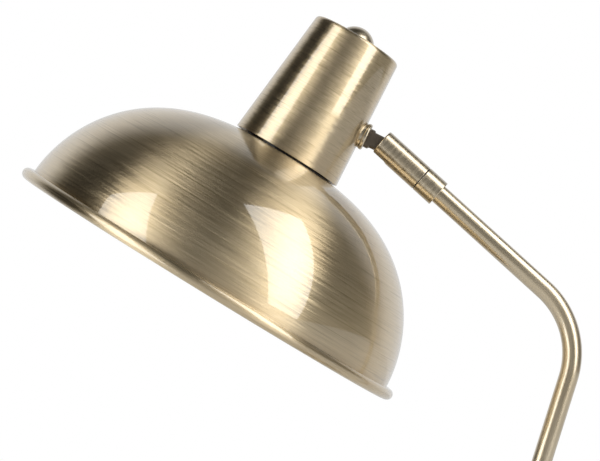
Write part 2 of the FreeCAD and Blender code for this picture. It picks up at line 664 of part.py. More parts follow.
def arm_lead():
    """Inner lead from the terminals, up through the arm to the spigot's end."""
    route = arm_route(LEAD_RUN_HEIGHT, ARM_UPPER_RUN + SPIGOT_LENGTH)
    route[0] = (0, LEAD_RUN_HEIGHT, LEAD_TURN_RADIUS)
    route.insert(0, (BLOCK_FACE, LEAD_RUN_HEIGHT, 0))
    return swept(LEAD_DIAMETER / 2, rounded_edges(route, closed=False))


# Swivel, drawn in the swivel frame

def swivel_collar():
    """Short collar brazed over the tube's end."""
    tube_end = -COLLAR_WEB
    plug = TUBE_BORE_RADIUS
    return placed(turned([
        (TUBE_RADIUS, -COLLAR_LENGTH, 0), (SLEEVE_RADIUS, -COLLAR_LENGTH, COLLAR_EDGE_RADIUS),
        (SLEEVE_RADIUS, 0, COLLAR_EDGE_RADIUS / 2), (plug, 0, 0), (plug, tube_end, 0),
        (TUBE_RADIUS, tube_end, 0)]), SWIVEL_FRAME)


def swivel_spigot():
    """Hollow journal that the sleeve turns on: a groove for the set screw, and a rib that stops it."""
    plug = TUBE_BORE_RADIUS
    bore = SPIGOT_BORE_DIAMETER / 2
    low = -COLLAR_WEB - SPIGOT_PLUG_LENGTH
    journal = turned([
        (bore, low, 0), (plug, low, SPIGOT_EDGE_RADIUS), (plug, 0, 0), (SPIGOT_RADIUS, 0, 0),
        (SPIGOT_RADIUS, SPIGOT_LENGTH, SPIGOT_EDGE_RADIUS), (bore, SPIGOT_LENGTH, 0)])
    groove_low = SPIGOT_GROOVE_HEIGHT - SPIGOT_GROOVE_WIDTH / 2
    sector = Part.makeCylinder(SLEEVE_RADIUS, SPIGOT_GROOVE_WIDTH, Vector(0, 0, groove_low), Z_AXIS,
                               360 - SWIVEL_STOP_ANGLE)
    sector.rotate(ORIGIN, Z_AXIS, -90 + SWIVEL_STOP_ANGLE / 2)
    core = disc(GROOVE_FLOOR_RADIUS, groove_low, groove_low + SPIGOT_GROOVE_WIDTH)
    return placed(journal.cut(sector.cut(core)), SWIVEL_FRAME)


def swivel_washer():
    """Thin washer in the seam between the collar and the sleeve."""
    washer = ring(SWIVEL_WASHER_DIAMETER / 2, SPIGOT_RADIUS, 0, SWIVEL_WASHER_THICKNESS)
    return placed(washer, SWIVEL_FRAME)


def swivel_sleeve():
    """Sleeve with a socket for the spigot below and, above, a bore and a slot that the tongue swings in."""
    bore_floor = PIVOT_HEIGHT - TONGUE_HEIGHT / 2 - SLEEVE_SEAT_DEPTH
    socket_top = SPIGOT_LENGTH + SWIVEL_PLAY + SLEEVE_START
    wire = SPIGOT_BORE_DIAMETER / 2
    body = turned([
        (SLEEVE_SOCKET_RADIUS, SLEEVE_START, 0), (SLEEVE_RADIUS, SLEEVE_START, COLLAR_EDGE_RADIUS / 2),
        (SLEEVE_RADIUS, SLEEVE_MOUTH, SLEEVE_MOUTH_RADIUS),
        (SLEEVE_BORE_RADIUS, SLEEVE_MOUTH, SLEEVE_BORE_EDGE_RADIUS), (SLEEVE_BORE_RADIUS, bore_floor, 0),
        (wire, bore_floor, 0), (wire, socket_top, 0), (SLEEVE_SOCKET_RADIUS, socket_top, 0)])
    slot_end = SLEEVE_MOUTH - SLOT_LENGTH + SLOT_WIDTH / 2
    slot = block(-SLEEVE_DIAMETER, 0, SLOT_WIDTH, slot_end, SLEEVE_MOUTH + CUT_OVERRUN)
    slot_round = bar(SLOT_WIDTH / 2, Vector(-SLEEVE_DIAMETER, 0, slot_end), X_AXIS, SLEEVE_DIAMETER)
    thread_end = Vector(0, PIVOT_THREAD_COVER - SLEEVE_RADIUS, PIVOT_HEIGHT)
    pivot_hole = bar(PIVOT_SCREW_DIAMETER / 2, thread_end, Y_AXIS, SLEEVE_DIAMETER)
    set_hole = bar(SET_SCREW_DIAMETER / 2, Vector(0, 0, SPIGOT_GROOVE_HEIGHT), Y_AXIS, SLEEVE_DIAMETER)
    cuts = [slot, slot_round, pivot_hole, set_hole, pivot_screw_head(False)]
    return placed(body.cut(cuts), SWIVEL_FRAME)


def pivot_screw_head(flush):
    """Countersunk head, or the recess for it, which runs on out through the sleeve's curved side."""
    top = SLEEVE_RADIUS - PIVOT_SCREW_SINK
    seat = top - PIVOT_SCREW_HEAD_HEIGHT
    frame = Placement(Vector(0, 0, PIVOT_HEIGHT), Rotation(X_AXIS, -90))
    rim = PIVOT_SCREW_HEAD_DIAMETER / 2
    edge = top if flush else SLEEVE_DIAMETER
    return placed(turned([
        (0, seat, 0), (PIVOT_SCREW_DIAMETER / 2, seat, 0), (rim, top - PIVOT_SCREW_RIM_HEIGHT, 0),
        (rim, edge, 0), (0, edge, 0)]), frame)


def pivot_screw():
    """Screw across the slot: its head is sunk in one cheek and its thread ends inside the other."""
    end = PIVOT_THREAD_COVER - SLEEVE_RADIUS
    seat = SLEEVE_RADIUS - PIVOT_SCREW_SINK - PIVOT_SCREW_HEAD_HEIGHT
    shank = bar(PIVOT_SCREW_DIAMETER / 2, Vector(0, end, PIVOT_HEIGHT), Y_AXIS, seat - end)
    top = SLEEVE_RADIUS - PIVOT_SCREW_SINK
    corner = Vector(-PIVOT_SCREW_HEAD_DIAMETER / 2, top - PIVOT_SCREW_SLOT_DEPTH,
                    PIVOT_HEIGHT - PIVOT_SCREW_SLOT_WIDTH / 2)
    driver = Part.makeBox(PIVOT_SCREW_HEAD_DIAMETER, PIVOT_SCREW_SLOT_DEPTH, PIVOT_SCREW_SLOT_WIDTH, corner)
    return placed(pivot_screw_head(True).fuse(shank).removeSplitter().cut(driver), SWIVEL_FRAME)


def pivot_washers():
    """Two friction washers between the tongue's flats and the sleeve."""
    inner_face = TONGUE_THICKNESS / 2 + PIVOT_PLAY
    washers = []
    for side in (-1, 1):
        washer = ring(PIVOT_WASHER_DIAMETER / 2, PIVOT_SCREW_DIAMETER / 2, inner_face,
                      inner_face + PIVOT_WASHER_THICKNESS)
        frame = Placement(Vector(0, 0, PIVOT_HEIGHT), Rotation(X_AXIS, -90 * side))
        washers.append(placed(placed(washer, frame), SWIVEL_FRAME))
    return Part.makeCompound(washers)


def swivel_set_screw():
    """Screw in the sleeve's side with a dog point that runs in the spigot's groove."""
    dog_end = GROOVE_FLOOR_RADIUS + 2 * SWIVEL_PLAY
    shoulder = SPIGOT_RADIUS + 2 * SWIVEL_PLAY
    top = SLEEVE_RADIUS - SET_SCREW_SINK
    screw = turned([
        (0, dog_end, 0), (SET_SCREW_DOG_DIAMETER / 2, dog_end, SET_SCREW_DOG_RADIUS),
        (SET_SCREW_DOG_DIAMETER / 2, shoulder, 0), (SET_SCREW_DIAMETER / 2, shoulder, 0),
        (SET_SCREW_DIAMETER / 2, top, 0), (0, top, 0)])
    driver = block(-SET_SCREW_DIAMETER, SET_SCREW_DIAMETER, SET_SCREW_SLOT_WIDTH,
                   top - SET_SCREW_SLOT_DEPTH, top)
    frame = Placement(Vector(0, 0, SPIGOT_GROOVE_HEIGHT), Rotation(X_AXIS, -90))
    return placed(placed(screw.cut(driver), frame), SWIVEL_FRAME)


# Knuckle, drawn in the stud frame

def in_stud(shape):
    """Shape moved from the stud frame to the lamp."""
    return placed(placed(shape, STUD_FRAME), HEAD_FRAME)


def knuckle_tongue():
    """Round bar milled flat on both sides, with a ball-shaped tail, an eye, and a hollow threaded stud."""
    thread, shoulder, neck = STUD_DIAMETER / 2, TONGUE_SHOULDER_DIAMETER / 2, TONGUE_HEIGHT / 2
    shoulder_end = JOINT_NUT_OUTER + TONGUE_SHOULDER_LENGTH
    tail = STUD_REACH + neck
    stock = turned([
        (0, STUD_END, 0), (thread, STUD_END, STUD_TIP_RADIUS), (thread, JOINT_NUT_OUTER, 0),
        (shoulder, JOINT_NUT_OUTER, 0), (shoulder, shoulder_end, TONGUE_SHOULDER_EDGE_RADIUS),
        (neck, shoulder_end + TONGUE_NECK_BLEND, TONGUE_NECK_RADIUS), (neck, tail, neck), (0, tail, 0)])
    keep = disc(SLEEVE_DIAMETER, STUD_END, JOINT_NUT_OUTER).fuse(
        block(-SLEEVE_DIAMETER, SLEEVE_DIAMETER, TONGUE_THICKNESS, JOINT_NUT_OUTER, tail))
    eye = bar(PIVOT_SCREW_DIAMETER / 2 + PIVOT_PLAY, Vector(0, -SLEEVE_DIAMETER, STUD_REACH), Y_AXIS,
              2 * SLEEVE_DIAMETER)
    bore = disc(STUD_BORE_DIAMETER / 2, STUD_END, WIRE_DOOR_DISTANCE)
    door = bar(WIRE_GROOVE_DIAMETER / 2, Vector(0, 0, WIRE_DOOR_DISTANCE), X_AXIS, SLEEVE_DIAMETER)
    groove_start = Vector(WIRE_GROOVE_OFFSET + WIRE_GROOVE_DIAMETER / 4, 0, WIRE_DOOR_DISTANCE)
    groove = bar(WIRE_GROOVE_DIAMETER / 2, groove_start, Z_AXIS, STUD_REACH)
    return in_stud(stock.common(keep).cut([eye, bore, door, groove]))


def cap_cone_solid(inset):
    """The cone of the cap's outer wall, or one set in by a wall's thickness, longer than the cap."""
    spare = CAP_HEIGHT / 2
    low, high = CAP_BOTTOM - spare, CAP_TOP + spare
    shift = inset / math.cos(CAP_FLARE)
    return Part.makeCone(cap_radius(low) - shift, cap_radius(high) - shift, high - low, Vector(0, 0, low))


def joint_washer():
    """Saddle washer: flat under the nut and hollowed to the cap's wall."""
    blank = placed(ring(JOINT_WASHER_DIAMETER / 2, STUD_DIAMETER / 2, -CAP_WALL - INNER_WASHER_SAG,
                        JOINT_WASHER_THICKNESS), STUD_FRAME)
    return placed(blank.cut(cap_cone_solid(0)), HEAD_FRAME)


def joint_nut():
    """Round nut with a rolled edge."""
    low, high, rim = JOINT_WASHER_THICKNESS, JOINT_NUT_OUTER, JOINT_NUT_DIAMETER / 2
    return in_stud(turned([
        (STUD_DIAMETER / 2, low, 0), (rim, low, JOINT_NUT_EDGE_RADIUS), (rim, high, JOINT_NUT_EDGE_RADIUS),
        (STUD_DIAMETER / 2, high, 0)]))


def joint_inner_washer():
    """Saddle washer on the inside of the cap's wall."""
    blank = ring(INNER_WASHER_DIAMETER / 2, STUD_DIAMETER / 2, INNER_WASHER_FACE, CAP_WALL)
    return placed(placed(blank, STUD_FRAME).common(cap_cone_solid(CAP_WALL)), HEAD_FRAME)


def joint_locknut():
    """Hexagon nut that clamps the cap's wall from inside."""
    return in_stud(hexagon(LOCKNUT_FLATS, STUD_DIAMETER / 2, LOCKNUT_FACE, INNER_WASHER_FACE))


# Head, drawn in the head frame

def cap_cone():
    """Spun conical cap with a flat top, a nipple hole and the stud's hole."""
    wall = CAP_WALL / math.cos(CAP_FLARE)
    hole = NIPPLE_DIAMETER / 2 + NIPPLE_HOLE_GAP
    shell = turned([
        (cap_radius(CAP_BOTTOM), CAP_BOTTOM, 0), (cap_radius(CAP_TOP), CAP_TOP, CAP_CORNER_RADIUS),
        (hole, CAP_TOP, 0), (hole, CAP_ROOF, 0),
        (cap_radius(CAP_ROOF) - wall, CAP_ROOF, CAP_CORNER_RADIUS - CAP_WALL / 2),
        (cap_radius(CAP_BOTTOM) - wall, CAP_BOTTOM, 0)])
    stud_hole = placed(disc(STUD_DIAMETER / 2, -JOINT_NUT_DIAMETER, JOINT_NUT_DIAMETER), STUD_FRAME)
    return placed(shell.cut(stud_hole), HEAD_FRAME)


def dome_wall(inset):
    """Curve of the dome's wall from the rim's plane to the seat, set in by a thickness along its normal."""
    end = math.acos((DOME_SEAT_DIAMETER / DOME_DIAMETER) ** (DOME_SIDE_POWER / 2))
    points = []
    for step in range(DOME_WALL_STEPS + 1):
        turn = end * step / DOME_WALL_STEPS
        radius = DOME_RADIUS * math.cos(turn) ** (2 / DOME_SIDE_POWER)
        height = DOME_CROWN_HEIGHT * math.sin(turn) ** (2 / DOME_CROWN_POWER)
        side_slope = (radius / DOME_RADIUS) ** (DOME_SIDE_POWER - 1)
        crown_slope = (height / DOME_CROWN_HEIGHT) ** (DOME_CROWN_POWER - 1)
        normal = Vector(DOME_SIDE_POWER / DOME_RADIUS * side_slope, 0,
                        DOME_CROWN_POWER / DOME_CROWN_HEIGHT * crown_slope)
        points.append(Vector(radius, 0, height) - normal.normalize() * inset)
    curve = Part.BSplineCurve()
    curve.interpolate(Points=points)
    return curve.toShape(), points


def circle_arc(centre, radius, start, sweep):
    """Arc in the XZ plane, angles from +X towards +Z."""
    def at(angle):
        turn = math.radians(angle)
        return centre + Vector(math.cos(turn), 0, math.sin(turn)) * radius
    return Part.Arc(at(start), at(start + sweep / 2), at(start + sweep)).toShape(), at(start + sweep)


def dome_shade():
    """Spun dome: one sheet that runs down the wall and curls outwards and up into the rim's bead."""
    outer_wall, outer_points = dome_wall(0)
    inner_wall, inner_points = dome_wall(DOME_SHEET)
    bead = RIM_BEAD_DIAMETER / 2
    centre = Vector(DOME_RADIUS - DOME_SHEET + bead, 0, 0)
    curl_outside, tip_outside = circle_arc(centre, bead, 180, RIM_CURL_ANGLE)
    curl_inside, tip_inside = circle_arc(centre, bead - DOME_SHEET, 180, RIM_CURL_ANGLE)
    hole = DOME_HOLE_DIAMETER / 2
    seat_edge = Vector(hole, 0, outer_points[-1].z)
    seat_foot = Vector(hole, 0, inner_points[-1].z)
    sheet = Part.Wire(Part.__sortEdges__([
        outer_wall, Part.makeLine(outer_points[-1], seat_edge), Part.makeLine(seat_edge, seat_foot),
        Part.makeLine(seat_foot, inner_points[-1]), inner_wall, curl_outside,
        Part.makeLine(tip_outside, tip_inside), curl_inside]))
    return placed(Part.Face(sheet).revolve(ORIGIN, Z_AXIS, 360), HEAD_FRAME)


def domed_nut():
    """Closed nut on the cap's top: a short straight rim under a ball-shaped crown."""
    rim, low = DOMED_NUT_DIAMETER / 2, CAP_TOP
    crown = DOMED_NUT_HEIGHT - DOMED_NUT_RIM
    ball = (rim ** 2 + crown ** 2) / (2 * crown)
    body = disc(rim, low, low + DOMED_NUT_HEIGHT).common(
        Part.makeSphere(ball, Vector(0, 0, low + DOMED_NUT_HEIGHT - ball)))
    thread = disc(NIPPLE_DIAMETER / 2, low, NIPPLE_TOP)
    return placed(body.cut(thread), HEAD_FRAME)


def lamp_nipple():
    """Threaded tube that hangs the lampholder from the cap's top."""
    return placed(ring(NIPPLE_DIAMETER / 2, NIPPLE_BORE_DIAMETER / 2, NIPPLE_BOTTOM, NIPPLE_TOP), HEAD_FRAME)


def nipple_locknuts():
    """One nut under the cap's top and one on the lampholder's neck."""
    under_cap = hexagon(LOCKNUT_FLATS, NIPPLE_DIAMETER / 2, CAP_ROOF - LOCKNUT_THICKNESS, CAP_ROOF)
    on_neck = hexagon(LOCKNUT_FLATS, NIPPLE_DIAMETER / 2, HOLDER_TOP, HOLDER_TOP + LOCKNUT_THICKNESS)
    return placed(Part.makeCompound([under_cap, on_neck]), HEAD_FRAME)


def holder_cover():
    """Upper half of the lampholder with a threaded neck and two wire holes."""
    side, neck, wall = HOLDER_DIAMETER / 2, HOLDER_NECK_DIAMETER / 2, HOLDER_WALL
    thread = NIPPLE_DIAMETER / 2
    cover = turned([
        (side, HOLDER_SPLIT, 0), (side, HOLDER_CROWN - HOLDER_COVER_CROWN, HOLDER_COVER_CROWN),
        (neck, HOLDER_CROWN, HOLDER_NECK_ROOT_RADIUS), (neck, HOLDER_TOP, HOLDER_NECK_EDGE_RADIUS),
        (thread, HOLDER_TOP, 0), (thread, HOLDER_CROWN - wall, 0), (neck, HOLDER_CROWN - wall, 0),
        (side - wall, HOLDER_CROWN - HOLDER_COVER_CROWN - wall, HOLDER_COVER_CROWN - wall),
        (side - wall, HOLDER_SPLIT, 0)])
    return placed(cover.cut(wire_holes()), HEAD_FRAME)


def wire_entry():
    """Distance from the head's axis to the wires' way into the holder's cover."""
    return (HOLDER_DIAMETER + HOLDER_NECK_DIAMETER) / 4 + CORE_WIRE_ENTRY_SHIFT


def wire_holes():
    """Cutters for the two wires, down through the cover's crown."""
    starts = [Vector(wire_entry(), side * CORE_WIRE_SPACING / 2, HOLDER_SPLIT) for side in (-1, 1)]
    return [bar(CORE_WIRE_DIAMETER / 2, start, Z_AXIS, HOLDER_TOP - HOLDER_SPLIT) for start in starts]


def holder_body():
    """Lower half of the lampholder: a shoulder on the dome, and a threaded skirt through it."""
    side, seat, bore = HOLDER_DIAMETER / 2, HOLDER_DIAMETER / 2 - HOLDER_WALL, HOLDER_BORE_DIAMETER / 2
    shoulder, skirt = HOLDER_SHOULDER_DIAMETER / 2, HOLDER_SKIRT_DIAMETER / 2
    return placed(turned([
        (bore, HOLDER_BOTTOM, HOLDER_BORE_EDGE_RADIUS), (skirt, HOLDER_BOTTOM, HOLDER_EDGE_RADIUS),
        (skirt, DOME_SEAT, 0), (shoulder, DOME_SEAT, 0), (shoulder, HOLDER_SHOULDER_TOP, HOLDER_EDGE_RADIUS),
        (side, HOLDER_SHOULDER_TOP, 0), (side, HOLDER_SPLIT, 0), (seat, HOLDER_SPLIT, 0),
        (seat, CORE_BOTTOM, 0), (bore, CORE_BOTTOM, 0)]), HEAD_FRAME)


def holder_core():
    """Ceramic block that carries the contacts, with two screw wells."""
    core = disc(HOLDER_DIAMETER / 2 - HOLDER_WALL, CORE_BOTTOM, CORE_TOP)
    floor = CORE_BOTTOM + CORE_SCREW_FLOOR
    wells = [bar(CORE_SCREW_DIAMETER / 2, Vector(0, side * CORE_SCREW_SPACING / 2, floor), Z_AXIS,
                 CORE_THICKNESS) for side in (-1, 1)]
    return placed(core.cut(wells), HEAD_FRAME)


def screw_shell():
    """Metal shell that the bulb screws into."""
    outer = HOLDER_BORE_DIAMETER / 2
    return placed(ring(outer, outer - SHELL_WALL, CORE_BOTTOM - SHELL_LENGTH, CORE_BOTTOM), HEAD_FRAME)


def centre_contact():
    """Sprung strip that presses on the bulb's button."""
    half, skin = CONTACT_LENGTH / 2, CONTACT_THICKNESS
    root, tip = CORE_BOTTOM, CONTACT_TIP
    corners = [
        (-half, root, 0), (-half, root - skin, 0), (-half / 3, root - skin, CONTACT_FOOT_RADIUS),
        (0, tip, CONTACT_TIP_RADIUS), (half / 2, tip, 0), (half / 2, tip + skin, 0),
        (0, tip + skin, CONTACT_TIP_RADIUS), (-half / 3, root, CONTACT_FOOT_RADIUS - skin)]
    strip = Part.Face(Part.Wire(rounded_edges(corners))).extrude(Vector(0, CONTACT_WIDTH, 0))
    strip.translate(Vector(0, -CONTACT_WIDTH / 2, 0))
    return placed(strip, HEAD_FRAME)


def shade_ring():
    """Ring screwed up the holder's skirt against the dome, with finger grips round its flange."""
    top, bottom = DOME_SEAT_UNDERSIDE, DOME_SEAT_UNDERSIDE - RING_HEIGHT
    flange_underside = top - RING_FLANGE_THICKNESS
    thread, collar, flange = HOLDER_SKIRT_DIAMETER / 2, RING_COLLAR_DIAMETER / 2, RING_FLANGE_DIAMETER / 2
    body = turned([
        (thread, bottom, 0), (collar, bottom, RING_EDGE_RADIUS), (collar, flange_underside, RING_ROOT_RADIUS),
        (flange, flange_underside, RING_EDGE_RADIUS), (flange, top, 0), (thread, top, 0)])
    grip_foot = Vector(flange + RING_GRIP_DIAMETER / 4, 0, bottom)
    grip = bar(RING_GRIP_DIAMETER / 2, grip_foot, Z_AXIS, RING_HEIGHT)
    return placed(body.cut(around(grip, RING_GRIP_COUNT)), HEAD_FRAME)


def head_wires():
    """Two wires from the stud's bore, up beside the lampholder and over into its cover."""
    start = STUD_FRAME.multVec(Vector(0, 0, -CAP_WALL))
    beside = (HOLDER_DIAMETER / 2 + STUD_FRAME.multVec(Vector(0, 0, STUD_END)).x) / 2
    over = HOLDER_CROWN + CORE_WIRE_REACH
    share = (start.x - beside) / math.cos(CAP_FLARE)
    level = start.z - share * math.sin(CAP_FLARE)
    route = [
        (start.x, start.z, 0), (beside, level, CORE_WIRE_TURN), (beside, over, CORE_WIRE_TOP_TURN),
        (wire_entry(), over, CORE_WIRE_TOP_TURN), (wire_entry(), HOLDER_CROWN - 2 * HOLDER_WALL, 0)]
    wires = []
    for side in (-1, 1):
        wire = swept(CORE_WIRE_DIAMETER / 2, rounded_edges(route, closed=False))
        wire.translate(Vector(0, side * CORE_WIRE_SPACING / 2, 0))
        wires.append(wire)
    return placed(Part.makeCompound(wires), HEAD_FRAME)


# Bulb, drawn in the head frame

def bulb_cap():
    """Metal screw cap of the bulb."""
    side, wall = BULB_CAP_DIAMETER / 2, BULB_CAP_WALL
    seat = BULB_CONTACT_DIAMETER
    return placed(turned([
        (side, BULB_CAP_BOTTOM, 0), (side, BULB_CAP_TOP, BULB_CAP_EDGE_RADIUS), (seat, BULB_CAP_TOP, 0),
        (seat, BULB_CAP_TOP - wall, 0), (side - wall, BULB_CAP_TOP - wall, BULB_CAP_EDGE_RADIUS - wall),
        (side - wall, BULB_CAP_BOTTOM, 0)]), HEAD_FRAME)


def bulb_insulator():
    """Black insulator at the cap's end."""
    foot, top = BULB_CAP_TOP, CONTACT_TIP - BULB_BUTTON_HEIGHT
    return placed(turned([
        (0, foot, 0), (BULB_CONTACT_DIAMETER, foot, 0),
        (BULB_CONTACT_DIAMETER / 2, top, BULB_INSULATOR_EDGE_RADIUS), (0, top, 0)]), HEAD_FRAME)


def bulb_button():
    """Contact button at the bulb's end."""
    foot, top = CONTACT_TIP - BULB_BUTTON_HEIGHT, CONTACT_TIP
    rim = BULB_CONTACT_DIAMETER / 2 - BULB_BUTTON_INSET
    button = turned([(0, foot, 0), (rim, foot, 0), (rim, top, BULB_BUTTON_INSET), (0, top, 0)])
    return placed(button, HEAD_FRAME)


def bulb_collar():
    """White housing between the screw cap and the globe."""
    rim, cap = BULB_COLLAR_DIAMETER / 2, BULB_CAP_DIAMETER / 2 - BULB_CAP_WALL
    flange, core_top = BULB_CAP_DIAMETER / 2 + BULB_CAP_FLANGE, BULB_CAP_TOP - BULB_COLLAR_ROOM
    return placed(turned([
        (0, BULB_COLLAR_END, 0), (rim, BULB_COLLAR_END, 0),
        (rim - BULB_COLLAR_TAPER, BULB_COLLAR_END + BULB_COLLAR_BAND_LENGTH, BULB_COLLAR_SHOULDER_RADIUS),
        (flange, BULB_CAP_BOTTOM - BULB_COLLAR_NECK_LENGTH, BULB_COLLAR_NECK_RADIUS),
        (flange, BULB_CAP_BOTTOM, 0), (cap, BULB_CAP_BOTTOM, 0), (cap, core_top, 0), (0, core_top, 0)]),
        HEAD_FRAME)


def bulb_globe():
    """Opal globe, a ball cut off where it meets the collar."""
    ball = BULB_DIAMETER / 2
    centre = Vector(0, 0, BULB_END + ball)
    rim = BULB_COLLAR_DIAMETER / 2
    meet = centre.z + math.sqrt(ball ** 2 - rim ** 2)
    neck = disc(rim, centre.z, BULB_COLLAR_END)
    outside = Part.makeSphere(ball, centre).common(disc(ball, BULB_END, meet))
    outside = outside.fuse(neck).removeSplitter()
    wall = BULB_GLOBE_WALL
    inside = Part.makeSphere(ball - wall, centre).fuse(disc(rim - wall, centre.z, BULB_COLLAR_END))
    inside = inside.common(disc(ball, BULB_END, BULB_COLLAR_END)).removeSplitter()
    return placed(outside.cut(inside), HEAD_FRAME)


PIECES = [
    base_shell, base_weight, base_plate, base_plate_screws, base_pad, cord_bush, cord_clamp,
    cord_clamp_screws, terminal_block, arm_tube, arm_ferrule, arm_washer, arm_nut, arm_lead,
    swivel_collar, swivel_spigot, swivel_washer, swivel_sleeve, swivel_set_screw, pivot_screw,
    pivot_washers, knuckle_tongue, joint_washer, joint_nut, joint_inner_washer, joint_locknut,
    cap_cone, domed_nut, lamp_nipple, nipple_locknuts, holder_cover, holder_body, holder_core,
    screw_shell, centre_contact, shade_ring, dome_shade, head_wires, bulb_cap, bulb_insulator,
    bulb_button, bulb_collar, bulb_globe]

os.makedirs("parts", exist_ok=True)
for piece in PIECES:
    shape = piece()
    shape.exportStep("parts/" + piece.__name__ + ".step")
    print(piece.__name__, len(shape.Solids), "solid(s),", round(shape.Volume, 1), "mm3,",
          "valid" if shape.isValid() else "not valid")
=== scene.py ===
"""Looks of the dome shade desk lamp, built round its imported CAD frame. Lengths are metres."""
import json
import math

import bmesh
import bpy
from bpy.props import FloatProperty, FloatVectorProperty, IntProperty, PointerProperty
from mathutils import Matrix, Vector


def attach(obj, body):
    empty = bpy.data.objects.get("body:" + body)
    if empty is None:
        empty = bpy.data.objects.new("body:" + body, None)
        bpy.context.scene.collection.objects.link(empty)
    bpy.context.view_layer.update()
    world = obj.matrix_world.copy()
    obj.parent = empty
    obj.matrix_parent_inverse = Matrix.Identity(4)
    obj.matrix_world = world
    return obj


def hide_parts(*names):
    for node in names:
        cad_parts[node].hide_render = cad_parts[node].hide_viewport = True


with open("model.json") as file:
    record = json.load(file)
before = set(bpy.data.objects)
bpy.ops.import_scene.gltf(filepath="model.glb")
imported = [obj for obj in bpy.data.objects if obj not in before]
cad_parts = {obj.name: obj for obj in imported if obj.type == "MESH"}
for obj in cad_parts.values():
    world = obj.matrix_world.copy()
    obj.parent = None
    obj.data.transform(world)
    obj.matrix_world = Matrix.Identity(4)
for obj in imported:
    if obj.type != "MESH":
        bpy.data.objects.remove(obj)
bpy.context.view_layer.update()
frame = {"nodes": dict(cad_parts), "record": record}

bl_info = {
    "name": "Dome shade desk lamp",
    "version": (1, 0, 0),
    "blender": (4, 5, 0),
    "location": "3D View > Sidebar > Desk lamp",
    "description": "Dresses the desk lamp: brushed brass, arm, lampholder, bulb and studio",
    "category": "Object",
}

# Arm and base
ARM_LEAN = math.radians(17.5)
ARM_RISE = math.radians(42.1)
ARM_FOOT = 0.008
ARM_FOOT_BEND_HEIGHT = 0.045
ARM_FOOT_BEND_RADIUS = 0.045
ARM_LOWER_RUN = 0.3126
ARM_UPPER_RUN = 0.1113
ARM_BEND_RADIUS = 0.043
COLLAR_WEB = 0.0025
BASE_TOP = 0.018
BASE_RADIUS = 0.085
BASE_WALL = 0.0012
BASE_SKIRT_LIFT = 0.001
CORD_HOLE_RADIUS = 0.0048
CORD_HEIGHT = 0.01015

# Knuckle
PIVOT_HEIGHT = 0.02295
STUD_RADIUS = 0.005
STUD_REACH = 0.015
STUD_HEIGHT = 0.0291

# Head
HEAD_LEAN = math.radians(31.34)
DOME_RADIUS = 0.1048
DOME_HEIGHT = 0.07665
SIDE_POWER = 2.752
CROWN_POWER = 1.876
DOME_SEAT_RADIUS = 0.028
CAP_BOTTOM_RADIUS = 0.0297
CAP_TOP_RADIUS = 0.0241
CAP_HEIGHT = 0.0695
CAP_GAP = 0.00105
HOLDER_SKIRT_RADIUS = 0.0197
HOLDER_SKIRT_LENGTH = 0.0153

# Studio
CAMERA_PLACE = Vector((-0.0235, -1.229, 0.345))
CAMERA_AIM = Vector((-0.0505, 0.0, 0.3912))
CAMERA_ROLL = 0.0043
LAMP_MIDDLE = Vector((-0.08, 0.0, 0.39))
FLOOR_RADIUS = 1.6
FILL_PLACE = Vector((0.35, -1.5, 1.7))
FILL_SIDE = 1.4
FILL_BOOST = 1.4

# What metal mirrors round the lamp: the backdrop, the glow in front, low and high, and the dark room
BACKDROP_LEVEL = 0.74
GLOW_LEVEL_LOW = 0.24
GLOW_LEVEL_HIGH = 0.04
ROOM_LEVEL = 0.012

# Shares of a brass colour in its dull and bright brushing lines, its clouds and its dark hairlines
DULL_SHARES = (0.82, 0.80, 0.72)
BRIGHT_SHARES = (1.12, 1.12, 1.12)
CLOUD_SHARES = (0.94, 0.94, 0.94)
WARM_SHARES = (0.96, 0.86, 0.72)
DARK_SHARES = (0.45, 0.40, 0.30)

SEGMENTS_ROUND = 256
SEGMENTS_DOME = 320
SHARP_ANGLE = math.radians(32)


# Frames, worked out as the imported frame's are

def dome_level(radius):
    """Height of the dome's outer wall above the rim's plane at a radius."""
    share = 1 - (radius / DOME_RADIUS) ** SIDE_POWER
    return DOME_HEIGHT * share ** (1 / CROWN_POWER)


def turned_frame(origin, lean):
    """Matrix of a frame whose +Z leans from upright towards +X."""
    return Matrix.Translation(origin) @ Matrix.Rotation(lean, 4, "Y")


# Heights in the head's frame, whose origin is in the rim's plane
CAP_BOTTOM = dome_level(CAP_BOTTOM_RADIUS) + CAP_GAP
CAP_TOP = CAP_BOTTOM + CAP_HEIGHT
CAP_FLARE = math.atan((CAP_BOTTOM_RADIUS - CAP_TOP_RADIUS) / CAP_HEIGHT)
HOLDER_BOTTOM = dome_level(DOME_SEAT_RADIUS) - HOLDER_SKIRT_LENGTH
STUD_FOOT = Vector((CAP_BOTTOM_RADIUS - STUD_HEIGHT * math.tan(CAP_FLARE), 0, CAP_BOTTOM + STUD_HEIGHT))

# The arm's corners, the swivel's seam, the knuckle's pivot, and the stud and head that turn about it
LOWER_DIRECTION = Vector((math.sin(ARM_LEAN), 0, math.cos(ARM_LEAN)))
UPPER_DIRECTION = Vector((-math.cos(ARM_RISE), 0, math.sin(ARM_RISE)))
ARM_CORNER = Vector((0, 0, ARM_FOOT_BEND_HEIGHT)) + LOWER_DIRECTION * ARM_LOWER_RUN
TUBE_TOP = ARM_CORNER + UPPER_DIRECTION * (ARM_UPPER_RUN - COLLAR_WEB)
SWIVEL_FRAME = turned_frame(ARM_CORNER + UPPER_DIRECTION * ARM_UPPER_RUN, ARM_RISE - math.pi / 2)
PIVOT = SWIVEL_FRAME @ Vector((0, 0, PIVOT_HEIGHT))
STUD_IN_HEAD = turned_frame(STUD_FOOT, math.pi / 2 - CAP_FLARE)
PIVOT_IN_HEAD = STUD_IN_HEAD @ Vector((0, 0, STUD_REACH))
HEAD_FRAME = turned_frame(PIVOT - Matrix.Rotation(HEAD_LEAN, 3, "Y") @ PIVOT_IN_HEAD, HEAD_LEAN)
